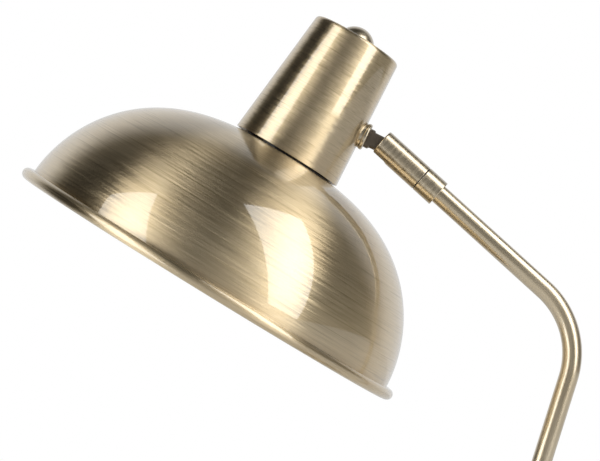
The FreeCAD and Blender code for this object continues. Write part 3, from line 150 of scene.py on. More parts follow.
STUD_FRAME = HEAD_FRAME @ STUD_IN_HEAD
BASE_FRAME = Matrix.Identity(4)


# Outlines and meshes

def circle_points(radius, sides):
    """Points (x, y) round a circle."""
    turns = [2 * math.pi * side / sides for side in range(sides)]
    return [(radius * math.cos(turn), radius * math.sin(turn)) for turn in turns]


def arc_points(centre, radius, start, sweep, steps):
    """Points (across, height) on an arc, angles from across towards height."""
    turns = [start + sweep * step / steps for step in range(steps + 1)]
    return [(centre[0] + radius * math.cos(turn), centre[1] + radius * math.sin(turn)) for turn in turns]


def rounded_outline(corners, closed=True, arc_steps=8):
    """Polyline through corners (across, height, radius), with an arc at each corner that has a radius."""
    points = [Vector(corner[:2]) for corner in corners]
    outline = []
    for index, (across, height, radius) in enumerate(corners):
        here = points[index]
        if radius == 0 or (not closed and index in (0, len(corners) - 1)):
            outline.append((across, height))
            continue
        back = (points[index - 1] - here).normalized()
        on = (points[(index + 1) % len(points)] - here).normalized()
        half = back.angle(on) / 2
        centre = here + (back + on).normalized() * (radius / math.sin(half))
        start = here + back * (radius / math.tan(half)) - centre
        sweep = start.angle_signed(here + on * (radius / math.tan(half)) - centre)
        for step in range(arc_steps + 1):
            turned = Matrix.Rotation(-sweep * step / arc_steps, 2) @ start
            outline.append(tuple(centre + turned))
    return outline


def mesh_object(name, verts, faces, uvs=None):
    """Object from plain lists, with smooth faces, sharp corners and outward normals."""
    mesh = bpy.data.meshes.new(name)
    mesh.from_pydata(verts, [], faces)
    if uvs:
        layer = mesh.uv_layers.new(name="Brushing")
        layer.data.foreach_set("uv", [value for uv in uvs for value in uv])
    made = bpy.data.objects.new(name, mesh)
    bpy.context.scene.collection.objects.link(made)
    shape = bmesh.new()
    shape.from_mesh(mesh)
    bmesh.ops.recalc_face_normals(shape, faces=shape.faces)
    shape.to_mesh(mesh)
    shape.free()
    mesh.shade_smooth()
    mesh.set_sharp_from_angle(angle=SHARP_ANGLE)
    return made


def lathe(name, outline, place, segments=SEGMENTS_ROUND):
    """Shell turned about a frame's Z from a closed outline, with UVs in metres along it and in turns."""
    count = len(outline)
    lengths = [0.0]
    for index in range(count):
        step = Vector(outline[(index + 1) % count]) - Vector(outline[index])
        lengths.append(lengths[-1] + step.length)
    verts = [place @ Vector((across * x, across * y, height))
             for x, y in circle_points(1, segments) for across, height in outline]
    faces, uvs = [], []
    for turn in range(segments):
        following = (turn + 1) % segments
        for index in range(count):
            after = (index + 1) % count
            faces.append((turn * count + index, turn * count + after, following * count + after,
                          following * count + index))
            low, high = lengths[index], lengths[index + 1]
            here, there = turn / segments, (turn + 1) / segments
            uvs += [(low, here), (high, here), (high, there), (low, there)]
    return mesh_object(name, verts, faces, uvs)


def round_bar(name, start, direction, length, radius, sides=64):
    """Plain closed cylinder, used as a cutter."""
    turn = Vector((0, 0, 1)).rotation_difference(direction).to_matrix().to_4x4()
    place = Matrix.Translation(start) @ turn
    verts = [place @ Vector((x, y, z)) for z in (0, length) for x, y in circle_points(radius, sides)]
    faces = [(k, (k + 1) % sides, sides + (k + 1) % sides, sides + k) for k in range(sides)]
    faces += [tuple(range(sides))[::-1], tuple(range(sides, 2 * sides))]
    return mesh_object(name, verts, faces)


def bored(piece, cutter):
    """The piece with a cutter's shape taken out; the cutter is deleted."""
    cut = piece.modifiers.new("Hole", "BOOLEAN")
    cut.object = cutter
    cut.solver = "EXACT"
    return baked(piece, cutter)


def baked(piece, *spent):
    """The piece with its modifiers turned into plain mesh, and the helpers that they used deleted."""
    graph = bpy.context.evaluated_depsgraph_get()
    mesh = bpy.data.meshes.new_from_object(piece.evaluated_get(graph))
    mesh.name = piece.name
    piece.modifiers.clear()
    piece.data = mesh
    for helper in spent:
        bpy.data.objects.remove(helper)
    return piece


def swept_tube(name, route, radius, wall, sides=64):
    """Open tube with two walls along points (x, z) in the arm's plane; its UVs are turns and metres along."""
    points = [Vector((x, 0, z)) for x, z in route]
    lengths, rings = [0.0], []
    for index, point in enumerate(points):
        back = points[max(index - 1, 0)]
        on = points[min(index + 1, len(points) - 1)]
        along = (on - back).normalized()
        across = Vector((along.z, 0, -along.x))
        if index:
            lengths.append(lengths[-1] + (point - points[index - 1]).length)
        rings.append((point, across))
    # The outer wall runs up the route and the inner wall comes back down it
    stations = [(rings[k], lengths[k], radius) for k in range(len(rings))]
    stations += [(rings[k], lengths[k], radius - wall) for k in reversed(range(len(rings)))]
    verts = [point + (across * x + Vector((0, 1, 0)) * y) * size
             for (point, across), _, size in stations for x, y in circle_points(1, sides)]
    faces, uvs = [], []
    count = len(stations)
    for index in range(count):
        after = (index + 1) % count
        low, high = stations[index][1], stations[after][1]
        for side in range(sides):
            following = (side + 1) % sides
            faces.append((index * sides + side, index * sides + following, after * sides + following,
                          after * sides + side))
            here, there = side / sides, (side + 1) / sides
            uvs += [(here, low), (there, low), (there, high), (here, high)]
    return mesh_object(name, verts, faces, uvs)


# Shader helpers

class Tree:
    """Short way to place and join nodes in one node tree."""

    def __init__(self, tree):
        self.tree = tree
        tree.nodes.clear()

    def node(self, kind, values=None, **settings):
        """A node with its settings, and its sockets set from values or joined to other sockets."""
        made = self.tree.nodes.new(kind)
        for key, value in settings.items():
            setattr(made, key, value)
        for key, value in (values or {}).items():
            socket = made.inputs[key]
            if isinstance(value, bpy.types.NodeSocket):
                self.join(value, socket)
            else:
                socket.default_value = value
        return made

    def join(self, output, socket):
        """Links an output to an input."""
        self.tree.links.new(output, socket)

    def math(self, operation, first, second=0.0):
        """Result of a Math node."""
        return self.node("ShaderNodeMath", {0: first, 1: second}, operation=operation).outputs[0]

    def ranged(self, value, low, high, new_low=0.0, new_high=1.0, smooth=False):
        """Result of a Map Range node."""
        kind = "SMOOTHSTEP" if smooth else "LINEAR"
        return self.node("ShaderNodeMapRange", {
            "Value": value, "From Min": low, "From Max": high, "To Min": new_low, "To Max": new_high,
        }, interpolation_type=kind).outputs["Result"]

    def mixed(self, share, first, second):
        """Result of a colour Mix node, by the numbers of its colour sockets."""
        mix = self.node("ShaderNodeMix", {0: share, 6: first, 7: second}, data_type="RGBA")
        return mix.outputs[2]


def shared_group(name, inputs, outputs):
    """Shader node group with named sockets, its tree helper, and its input and output nodes."""
    group = bpy.data.node_groups.new(name, "ShaderNodeTree")
    tree = Tree(group)
    for label, kind, default in inputs:
        socket = group.interface.new_socket(label, in_out="INPUT", socket_type=kind)
        if default is not None:
            socket.default_value = default
    for label, kind in outputs:
        group.interface.new_socket(label, in_out="OUTPUT", socket_type=kind)
    entry = tree.node("NodeGroupInput")
    leave = tree.node("NodeGroupOutput")
    return group, tree, entry.outputs, leave.inputs


def brushed_lines_group():
    """Fine brushing lines and dark hairlines, long one way and dense the other, with no seam round a turn."""
    group, tree, given, result = shared_group("Brushed lines", [
        ("Along", "NodeSocketFloat", 0.0), ("Turns", "NodeSocketFloat", 0.0),
        ("Along Scale", "NodeSocketFloat", 1500.0), ("Turn Scale", "NodeSocketFloat", 3.6),
    ], [("Lines", "NodeSocketFloat"), ("Hairlines", "NodeSocketFloat"), ("Cloud", "NodeSocketFloat"),
        ("Tilt", "NodeSocketFloat")])
    angle = tree.math("MULTIPLY", given["Turns"], 2 * math.pi)
    cosine = tree.math("MULTIPLY", tree.math("COSINE", angle), given["Turn Scale"])
    sine = tree.math("MULTIPLY", tree.math("SINE", angle), given["Turn Scale"])
    along = tree.math("MULTIPLY", given["Along"], given["Along Scale"])

    def noise(share, stretch, detail):
        """Noise on the brushing's own coordinates, with its own spacing and length."""
        place = tree.node("ShaderNodeCombineXYZ", {
            "X": tree.math("MULTIPLY", along, share), "Y": tree.math("MULTIPLY", cosine, stretch),
            "Z": tree.math("MULTIPLY", sine, stretch)})
        return tree.node("ShaderNodeTexNoise", {
            "Vector": place.outputs[0], "Scale": 1.0, "Detail": detail, "Roughness": 0.55}).outputs["Fac"]

    fine = noise(share=1.0, stretch=1.0, detail=2.0)
    sparse = noise(share=0.71, stretch=0.55, detail=2.0)
    broad = noise(share=0.035, stretch=0.8, detail=3.0)
    wavy = noise(share=0.83, stretch=0.7, detail=3.0)
    tree.join(tree.ranged(fine, 0.32, 0.68), result["Lines"])
    tree.join(tree.ranged(sparse, 0.57, 0.74), result["Hairlines"])
    tree.join(tree.ranged(broad, 0.3, 0.7), result["Cloud"])
    tree.join(tree.ranged(wavy, 0.25, 0.75), result["Tilt"])
    return group


def surface_grain_group():
    """Cloudy tone, fine specks and small dents of a moulded, cast or plated surface."""
    group, tree, given, result = shared_group("Surface grain", [
        ("Vector", "NodeSocketVector", None), ("Grain Scale", "NodeSocketFloat", 1500.0),
        ("Cloud Scale", "NodeSocketFloat", 60.0),
    ], [("Grain", "NodeSocketFloat"), ("Cloud", "NodeSocketFloat"), ("Specks", "NodeSocketFloat")])
    grain = tree.node("ShaderNodeTexNoise", {
        "Vector": given["Vector"], "Scale": given["Grain Scale"], "Detail": 3.0, "Roughness": 0.6})
    cloud = tree.node("ShaderNodeTexNoise", {
        "Vector": given["Vector"], "Scale": given["Cloud Scale"], "Detail": 4.0, "Roughness": 0.6})
    cells = tree.node("ShaderNodeTexVoronoi", {
        "Vector": given["Vector"], "Scale": tree.math("MULTIPLY", given["Grain Scale"], 0.35)})
    tree.join(tree.ranged(grain.outputs["Fac"], 0.25, 0.75), result["Grain"])
    tree.join(tree.ranged(cloud.outputs["Fac"], 0.3, 0.7), result["Cloud"])
    tree.join(tree.ranged(cells.outputs["Distance"], 0.16, 0.06), result["Specks"])
    return group


def toned(colour, shares=(1.0, 1.0, 1.0)):
    """RGBA of a colour with its parts made lighter or darker."""
    return tuple(part * share for part, share in zip(colour, shares)) + (1.0,)


def new_material(name):
    """Empty material, its tree helper and its output node's surface socket."""
    material = bpy.data.materials.new(name)
    material.use_nodes = True
    tree = Tree(material.node_tree)
    return material, tree, tree.node("ShaderNodeOutputMaterial").inputs["Surface"]


def axis_coordinates(tree, place):
    """Distance along a frame's Z, and turns round it, for a piece with no UV map of its own."""
    position = tree.node("ShaderNodeTexCoord").outputs["Object"]
    local = tree.node("ShaderNodeMapping", {
        "Vector": position, "Location": place.to_translation(), "Rotation": place.to_euler()},
        vector_type="TEXTURE")
    parts = tree.node("ShaderNodeSeparateXYZ", {0: local.outputs[0]}).outputs
    turns = tree.math("DIVIDE", tree.math("ARCTAN2", parts["Y"], parts["X"]), 2 * math.pi)
    return parts["Z"], turns


def lacquered_brass(name, colour, along_scale, turn_scale, roughness, anisotropy=0.0, hairlines=0.35,
                    place=None, uv_axes=("X", "Y"), bump=0.1, tilt=0.0):
    """Plated, brushed brass under clear lacquer, brushed by its UV map, or round a frame's axis if placed."""
    groups = shared_groups()
    material, tree, surface = new_material(name)
    shader = tree.node("ShaderNodeBsdfPrincipled", {
        "Metallic": 1.0, "Anisotropic": anisotropy, "Coat Weight": 1.0, "Coat Roughness": 0.045,
        "Coat IOR": 1.75})
    if place is None:
        layer = tree.node("ShaderNodeUVMap", uv_map="Brushing").outputs[0]
        parts = tree.node("ShaderNodeSeparateXYZ", {0: layer}).outputs
        along, turns = parts[uv_axes[0]], parts[uv_axes[1]]
        tangent = tree.node("ShaderNodeTangent", direction_type="UV_MAP", uv_map="Brushing").outputs[0]
        tree.join(tangent, shader.inputs["Tangent"])
    else:
        along, turns = axis_coordinates(tree, place)
    lines = tree.node("ShaderNodeGroup", {
        "Along": along, "Turns": turns, "Along Scale": along_scale, "Turn Scale": turn_scale,
    }, node_tree=groups["lines"]).outputs
    grain = tree.node("ShaderNodeGroup", {
        "Vector": tree.node("ShaderNodeTexCoord").outputs["Object"], "Grain Scale": 900.0,
        "Cloud Scale": 28.0}, node_tree=groups["grain"]).outputs
    tone = tree.mixed(lines["Lines"], toned(colour, DULL_SHARES), toned(colour, BRIGHT_SHARES))
    tone = tree.mixed(tree.math("MULTIPLY", lines["Cloud"], 0.5), tone, toned(colour, CLOUD_SHARES))
    tone = tree.mixed(tree.math("MULTIPLY", grain["Cloud"], 0.35), tone, toned(colour, WARM_SHARES))
    tone = tree.mixed(tree.math("MULTIPLY", lines["Hairlines"], hairlines), tone, toned(colour, DARK_SHARES))
    tree.join(tone, shader.inputs["Base Color"])
    spread = 0.05
    rough = tree.ranged(lines["Lines"], 0.0, 1.0, roughness - spread, roughness + spread)
    tree.join(rough, shader.inputs["Roughness"])
    normal = tree.node("ShaderNodeBump", {
        "Strength": bump, "Distance": 0.00001, "Height": lines["Lines"]}).outputs[0]
    if tilt:
        normal = tilted_normal(tree, normal, tangent, lines["Tilt"], tilt)
    tree.join(normal, shader.inputs["Normal"])
    tree.join(shader.outputs[0], surface)
    return material


def tilted_normal(tree, normal, tangent, share, most):
    """Normal that each brushing line turns a little along its own length."""
    across = tree.node("ShaderNodeVectorMath", {0: normal, 1: tangent}, operation="CROSS_PRODUCT").outputs[0]
    turn = tree.ranged(share, 0.0, 1.0, -most, most)
    shift = tree.node("ShaderNodeVectorMath", {0: across, "Scale": turn}, operation="SCALE").outputs[0]
    moved = tree.node("ShaderNodeVectorMath", {0: normal, 1: shift}, operation="ADD").outputs[0]
    return tree.node("ShaderNodeVectorMath", {0: moved}, operation="NORMALIZE").outputs[0]


def plain_finish(name, colour, roughness, metallic=0.0, grain_scale=1500.0, cloud_scale=60.0, tone=0.12,
                 bump=0.15, depth=0.00003, specks=0.0, speck_colour=(0.0, 0.0, 0.0), shader_values=None):
    """Moulded, cast, plated or painted surface with cloudy tone, fine grain and specks."""
    material, tree, surface = new_material(name)
    shader = tree.node("ShaderNodeBsdfPrincipled", {"Metallic": metallic, **(shader_values or {})})
    grain = tree.node("ShaderNodeGroup", {
        "Vector": tree.node("ShaderNodeTexCoord").outputs["Object"], "Grain Scale": grain_scale,
        "Cloud Scale": cloud_scale}, node_tree=shared_groups()["grain"]).outputs
    shade = tree.mixed(grain["Cloud"], toned(colour, (1 - tone,) * 3), toned(colour, (1 + tone / 2,) * 3))
    shade = tree.mixed(tree.math("MULTIPLY", grain["Specks"], specks), shade, toned(speck_colour))
    tree.join(shade, shader.inputs["Base Color"])
    spread = 0.06
    rough = tree.ranged(grain["Grain"], 0.0, 1.0, roughness - spread, roughness + spread)
    tree.join(rough, shader.inputs["Roughness"])
    relief = tree.node("ShaderNodeBump", {"Strength": bump, "Distance": depth, "Height": grain["Grain"]})
    tree.join(relief.outputs[0], shader.inputs["Normal"])
    tree.join(shader.outputs[0], surface)
    return material


# Settings that a user may change

class ShadeSettings(bpy.types.PropertyGroup):
    """Sizes and colours of the shade and its cap."""

    dome_radius: FloatProperty(name="Dome radius", description="Outer radius of the dome's wall at the rim",
                               default=DOME_RADIUS, unit="LENGTH")
    dome_height: FloatProperty(name="Dome height", description="Height of the dome's curve if it closed",
                               default=DOME_HEIGHT, unit="LENGTH")
    side_power: FloatProperty(name="Side power", description="Power of the dome's curve at its sides",
                              default=SIDE_POWER)
    crown_power: FloatProperty(name="Crown power", description="Power of the dome's curve at its crown",
                               default=CROWN_POWER)
    sheet: FloatProperty(name="Sheet", description="Thickness of the spun sheet", default=0.0008,
                         unit="LENGTH")
    bead_radius: FloatProperty(name="Rim bead radius", description="Outer radius of the rim's curl",
                               default=0.0029, unit="LENGTH")
    curl: FloatProperty(name="Rim curl", description="Turn of the rim's curl", default=math.radians(310),
                        subtype="ANGLE")
    seat_radius: FloatProperty(name="Seat radius", description="Radius of the flat that the lampholder holds",
                               default=DOME_SEAT_RADIUS, unit="LENGTH")
    hole_radius: FloatProperty(name="Hole radius", description="Radius of the lampholder's hole",
                               default=0.020, unit="LENGTH")
    cap_bottom_radius: FloatProperty(name="Cap bottom radius", description="Outer radius at the cap's mouth",
                                     default=CAP_BOTTOM_RADIUS, unit="LENGTH")
    cap_top_radius: FloatProperty(name="Cap top radius", description="Outer radius at the cap's top",
                                  default=CAP_TOP_RADIUS, unit="LENGTH")
    cap_corner: FloatProperty(name="Cap corner", description="Radius of the cap's top edge", default=0.002,
                              unit="LENGTH")
    cap_wall: FloatProperty(name="Cap wall", description="Thickness of the cap's sheet", default=0.001,
                            unit="LENGTH")
    colour: FloatVectorProperty(name="Brushed brass", description="Plated sheet under the lacquer",
                                default=(0.71, 0.585, 0.385), subtype="COLOR", min=0.0, max=1.0)


class ArmSettings(bpy.types.PropertyGroup):
    """Sizes and colours of the arm, knuckle and base."""

    tube_radius: FloatProperty(name="Tube radius", description="Outer radius of the arm", default=0.005,
                               unit="LENGTH")
    tube_wall: FloatProperty(name="Tube wall", description="Thickness of the arm's wall", default=0.001,
                             unit="LENGTH")
    base_edge: FloatProperty(name="Base edge", description="Radius of the base's upper edge", default=0.004,
                             unit="LENGTH")
    tube_colour: FloatVectorProperty(name="Tube brass", description="Plated tube under the lacquer",
                                     default=(0.64, 0.55, 0.40), subtype="COLOR", min=0.0, max=1.0)
    turned_colour: FloatVectorProperty(name="Turned brass", description="Turned pieces of the knuckle",
                                       default=(0.60, 0.52, 0.385), subtype="COLOR", min=0.0, max=1.0)
    tongue_colour: FloatVectorProperty(name="Tongue", description="Dull plate of the tilting tongue",
                                       default=(0.20, 0.165, 0.125), subtype="COLOR", min=0.0, max=1.0)


class HolderSettings(bpy.types.PropertyGroup):
    """Sizes of the lampholder's thread."""

    ridge_count: IntProperty(name="Ridges", description="Thread ridges on the lampholder's skirt", default=7,
                             min=1)
    ridge_pitch: FloatProperty(name="Pitch", description="Distance from ridge to ridge", default=0.00085,
                               unit="LENGTH")
    ridge_radius: FloatProperty(name="Ridge", description="Half the width of one ridge", default=0.0003,
                                unit="LENGTH")


class StudioSettings(bpy.types.PropertyGroup):
    """Light and camera."""

    focal_length: FloatProperty(name="Focal length", description="Camera lens, in millimetres", default=145.0)
    right_level: FloatProperty(name="Right level", description="Brightness of the right softbox's face",
                               default=3.4)
    left_level: FloatProperty(name="Left level", description="Brightness of the left softbox's face",
                              default=2.8)
    fill_level: FloatProperty(name="Fill level", description="Plain light on what isn't metal", default=0.92)
    floor_colour: FloatVectorProperty(name="Floor", description="Pale studio floor",
                                      default=(0.66, 0.66, 0.655), subtype="COLOR", min=0.0, max=1.0)


# Materials by the record's slots

GROUPS = {}
FINISHES = {}


def shared_groups():
    """The shader groups, made once."""
    if not GROUPS:
        GROUPS.update(lines=brushed_lines_group(), grain=surface_grain_group())
    return GROUPS


def finish_named(name, make, **values):
    """A material by name, made from its values the first time that it is asked for."""
    if name not in FINISHES:
        FINISHES[name] = make(name, **values)
    return FINISHES[name]


def brushed_sheet_finish():
    """Material of the dome, cap and base cover."""
    return finish_named(
        "brushed_brass_sheet", lacquered_brass, colour=bpy.context.scene.lamp_shade.colour,
        along_scale=1500.0, turn_scale=3.6, roughness=0.41, anisotropy=0.93, hairlines=0.5, tilt=0.05)


def tube_finish():
    """Material of the arm's tube, brushed lengthwise."""
    return finish_named(
        "drawn_brass_tube", lacquered_brass, colour=bpy.context.scene.lamp_arm.tube_colour,
        along_scale=18.0, turn_scale=3.2, roughness=0.31, anisotropy=0.5, hairlines=0.15, uv_axes=("Y", "X"),
        bump=0.02)


def turned_finish(name, place):
    """Material of a turned brass piece that was polished round a frame's axis."""
    return finish_named(
        name, lacquered_brass, colour=bpy.context.scene.lamp_arm.turned_colour, along_scale=800.0,
        turn_scale=1.2, roughness=0.33, hairlines=0.15, place=place, bump=0.02)


def slot_finish(slot):
    """Material of a CAD node, by the name of the finish that it takes."""
    settings = bpy.context.scene.lamp_arm
    if slot == "satin_brass_tube":
        return finish_named(slot, lacquered_brass, colour=settings.tube_colour, along_scale=800.0,
                            turn_scale=1.2, roughness=0.34, place=BASE_FRAME)
    if slot == "dark_steel":
        return finish_named(slot, plain_finish, colour=settings.tongue_colour, roughness=0.42, metallic=0.9,
                            grain_scale=2600.0, tone=0.3, bump=0.35, specks=0.35,
                            speck_colour=(0.05, 0.04, 0.03))
    return finish_named(slot, plain_finish, **PLAIN_FINISHES[slot])


PLAIN_FINISHES = {
    "zinc_steel": dict(
        colour=(0.62, 0.62, 0.60), roughness=0.30, metallic=1.0, cloud_scale=140.0, tone=0.18, bump=0.1),
    "cast_iron": dict(
        colour=(0.055, 0.055, 0.058), roughness=0.72, grain_scale=700.0, tone=0.3, bump=0.8, depth=0.00025),
    "foam_pad": dict(
        colour=(0.030, 0.030, 0.031), roughness=0.92, grain_scale=2200.0, tone=0.35, bump=0.9, depth=0.00012,
        specks=0.5, speck_colour=(0.012, 0.012, 0.012)),
    "black_rubber": dict(
        colour=(0.022, 0.022, 0.022), roughness=0.62, grain_scale=1800.0, tone=0.25, bump=0.3),
    "white_nylon": dict(
        colour=(0.76, 0.75, 0.71), roughness=0.46, tone=0.06, bump=0.12,
        shader_values={"Subsurface Weight": 0.1, "Subsurface Radius": (0.002, 0.002, 0.0015)}),
    # Near-black nylon: painted shade of the swivel's seam, put on the washer that sits in it
    "seam_shade_nylon": dict(colour=(0.035, 0.030, 0.024), roughness=0.5, tone=0.2),
    "lead_sheath": dict(
        colour=(0.70, 0.67, 0.60), roughness=0.50, grain_scale=1100.0, tone=0.1, bump=0.15),
    "holder_black": dict(
        colour=(0.018, 0.018, 0.019), roughness=0.20, grain_scale=1300.0, tone=0.2, bump=0.1),
    "white_ceramic": dict(
        colour=(0.76, 0.74, 0.70), roughness=0.55, grain_scale=1600.0, tone=0.08, bump=0.35, specks=0.3,
        speck_colour=(0.45, 0.42, 0.38)),
    "contact_brass": dict(
        colour=(0.78, 0.56, 0.24), roughness=0.26, metallic=1.0, cloud_scale=160.0, tone=0.2),
    "bulb_metal": dict(
        colour=(0.72, 0.72, 0.71), roughness=0.28, metallic=1.0, cloud_scale=120.0, tone=0.12),
    "bulb_insulator": dict(colour=(0.012, 0.011, 0.012), roughness=0.16, tone=0.2, bump=0.08),
    "bulb_white": dict(colour=(0.80, 0.80, 0.785), roughness=0.38, tone=0.05, bump=0.08),
    "opal_globe": dict(
        colour=(0.82, 0.81, 0.78), roughness=0.34, tone=0.03, bump=0.05,
        shader_values={"Subsurface Weight": 0.5, "Subsurface Radius": (0.006, 0.006, 0.005)}),
}

TURNED_FRAMES = {
    "swivel_collar": SWIVEL_FRAME, "swivel_sleeve": SWIVEL_FRAME, "joint_nut": STUD_FRAME,
    "joint_washer": STUD_FRAME, "domed_nut": HEAD_FRAME}
# A node that shows another finish than its slot's: the seam washer's near-black colour is painted shade in
# the swivel's seam
NODE_FINISHES = {"swivel_washer": "seam_shade_nylon"}


def dress(piece, material):
    """Gives a piece one material."""
    piece.data.materials.clear()
    piece.data.materials.append(material)


def seated(piece, body, slot, *nodes):
    """The piece rides on a body and stands for CAD nodes, which it hides; its slot is not used."""
    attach(piece, body)
    if nodes:
        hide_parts(*nodes)
    return piece


# Softboxes

def panel_towards(point, facing, across, distance, lean, width, length, shift, rise):
    """A softbox's panel: it faces a point from a direction, moved along its own width and length."""
    facing, across = facing.normalized(), across.normalized()
    up = facing.cross(across)
    along = (up * math.cos(lean) - facing * math.sin(lean)).normalized()
    middle = point + facing * distance + across * shift + along * rise
    return middle, across, along, width, length


def softbox(name, panel, level):
    """Flat softbox that the metal reflects: its middle, its two axes, and its width and length."""
    middle, across, along, width, length = panel
    light = bpy.data.lights.new(name, "AREA")
    light.shape = "RECTANGLE"
    light.size, light.size_y = width, length
    light.energy = math.pi * width * length * level
    lamp = bpy.data.objects.new(name, light)
    bpy.context.scene.collection.objects.link(lamp)
    out = across.cross(along)
    turn = Matrix((across, out.cross(across), out)).transposed()
    lamp.matrix_world = Matrix.Translation(middle) @ turn.to_4x4()
    lamp.visible_diffuse = False
    lamp.visible_camera = False
    return lamp


# Each panel's edges follow the edges of the highlights that the photograph shows
RIGHT_SOFTBOX = panel_towards(
    point=Vector((-0.055, -0.075, 0.371)), facing=Vector((0.835, -0.43, 0.345)),
    across=Vector((0.54, 0.76, -0.37)), distance=1.48, lean=math.radians(19), width=0.78, length=2.18,
    shift=-0.10, rise=-0.22)
LEFT_SOFTBOX = panel_towards(
    point=Vector((-0.139, -0.06, 0.399)), facing=Vector((-0.292, -0.956, 0.0)),
    across=Vector((0.956, -0.292, 0.0)), distance=0.85, lean=0.0, width=0.86, length=1.80,
    shift=-0.60, rise=0.53)


# Operators, one for each piece or group of like pieces

class LAMP_OT_dome(bpy.types.Operator):
    """Builds the spun dome: one sheet that curls outwards and up into the rim's bead"""

    bl_idname = "lamp.dome"
    bl_label = "Spun dome"

    def execute(self, context):
        """Turns the dome's outline and rides it on the head."""
        size = context.scene.lamp_shade
        outer, inner = self.wall(size, 0.0), self.wall(size, size.sheet)
        centre = (size.dome_radius - size.sheet + size.bead_radius, 0.0)
        curl_outside = arc_points(centre, size.bead_radius, math.pi, size.curl, steps=36)
        curl_inside = arc_points(centre, size.bead_radius - size.sheet, math.pi, size.curl, steps=30)
        hole = size.hole_radius
        outline = inner[:0:-1] + curl_outside + curl_inside[::-1] + outer[1:]
        outline += [(hole, outer[-1][1]), (hole, inner[-1][1])]
        dome = lathe("spun_dome", outline, HEAD_FRAME, SEGMENTS_DOME)
        dress(dome, brushed_sheet_finish())
        seated(dome, "head", "brushed_brass", "dome_shade")
        return {"FINISHED"}

    @staticmethod
    def wall(size, inset, steps=56):
        """Points of the dome's wall from the rim to the seat, set in along its normal."""
        end = math.acos((size.seat_radius / size.dome_radius) ** (size.side_power / 2))
        points = []
        for step in range(steps + 1):
            turn = end * step / steps
            across = size.dome_radius * math.cos(turn) ** (2 / size.side_power)
            height = size.dome_height * math.sin(turn) ** (2 / size.crown_power)
            side = size.side_power / size.dome_radius * (across / size.dome_radius) ** (size.side_power - 1)
            rise = size.crown_power / size.dome_height * (height / size.dome_height) ** (size.crown_power - 1)
            normal = Vector((side, rise)).normalized()
            points.append((across - normal.x * inset, height - normal.y * inset))
        return points


class LAMP_OT_cap(bpy.types.Operator):
    """Builds the conical cap over the lampholder, with the stud's hole in its side"""

    bl_idname = "lamp.cap"
    bl_label = "Conical cap"

    def execute(self, context):
        """Turns the cap's outline, bores it for the stud and rides it on the head."""
        size = context.scene.lamp_shade
        flare = math.atan((size.cap_bottom_radius - size.cap_top_radius) / CAP_HEIGHT)
        wall = size.cap_wall / math.cos(flare)
        roof_radius = size.cap_top_radius + size.cap_wall * math.tan(flare) - wall
        nipple_hole, mouth_edge = 0.0051, 0.00025
        outline = rounded_outline([
            (size.cap_bottom_radius, CAP_BOTTOM, mouth_edge), (size.cap_top_radius, CAP_TOP, size.cap_corner),
            (nipple_hole, CAP_TOP, 0), (nipple_hole, CAP_TOP - size.cap_wall, 0),
            (roof_radius, CAP_TOP - size.cap_wall, size.cap_corner - size.cap_wall / 2),
            (size.cap_bottom_radius - wall, CAP_BOTTOM, mouth_edge)])
        cap = lathe("conical_cap", outline, HEAD_FRAME)
        outwards = STUD_FRAME.to_3x3() @ Vector((0, 0, 1))
        reach = 0.008
        start = STUD_FRAME.to_translation() - outwards * reach
        bored(cap, round_bar("stud_cutter", start, outwards, 2 * reach, STUD_RADIUS))
        dress(cap, brushed_sheet_finish())
        seated(cap, "head", "brushed_brass", "cap_cone")
        return {"FINISHED"}


class LAMP_OT_base_cover(bpy.types.Operator):
    """Builds the spun cover of the base, with the cord bush's hole in its edge"""

    bl_idname = "lamp.base_cover"
    bl_label = "Base cover"

    def execute(self, context):
        """Turns the cover's outline, bores it for the bush and rides it on the stand."""
        edge = context.scene.lamp_arm.base_edge
        hole, inner = 0.0051, BASE_RADIUS - BASE_WALL
        outline = rounded_outline([
            (hole, BASE_TOP, 0), (BASE_RADIUS, BASE_TOP, edge), (BASE_RADIUS, BASE_SKIRT_LIFT, 0.0002),
            (inner, BASE_SKIRT_LIFT, 0.0002), (inner, BASE_TOP - BASE_WALL, edge - BASE_WALL),
            (hole, BASE_TOP - BASE_WALL, 0)])
        cover = lathe("base_cover", outline, BASE_FRAME)
        reach, length = 0.0016, 0.012
        start = Vector((inner - reach, 0, CORD_HEIGHT))
        bored(cover, round_bar("bush_cutter", start, Vector((1, 0, 0)), length, CORD_HOLE_RADIUS))
        dress(cover, brushed_sheet_finish())
        seated(cover, "stand", "brushed_brass", "base_shell")
        return {"FINISHED"}


class LAMP_OT_arm(bpy.types.Operator):
    """Builds the bent tube of the arm"""

    bl_idname = "lamp.arm"
    bl_label = "Bent arm"

    def execute(self, context):
        """Sweeps the tube along the arm's route and rides it on the stand."""
        size = context.scene.lamp_arm
        route = rounded_outline([
            (0, ARM_FOOT, 0), (0, ARM_FOOT_BEND_HEIGHT, ARM_FOOT_BEND_RADIUS),
            (ARM_CORNER.x, ARM_CORNER.z, ARM_BEND_RADIUS), (TUBE_TOP.x, TUBE_TOP.z, 0),
        ], closed=False, arc_steps=40)
        tube = swept_tube("bent_arm", route, size.tube_radius, size.tube_wall)
        dress(tube, tube_finish())
        seated(tube, "stand", "satin_brass_tube", "arm_tube")
        return {"FINISHED"}


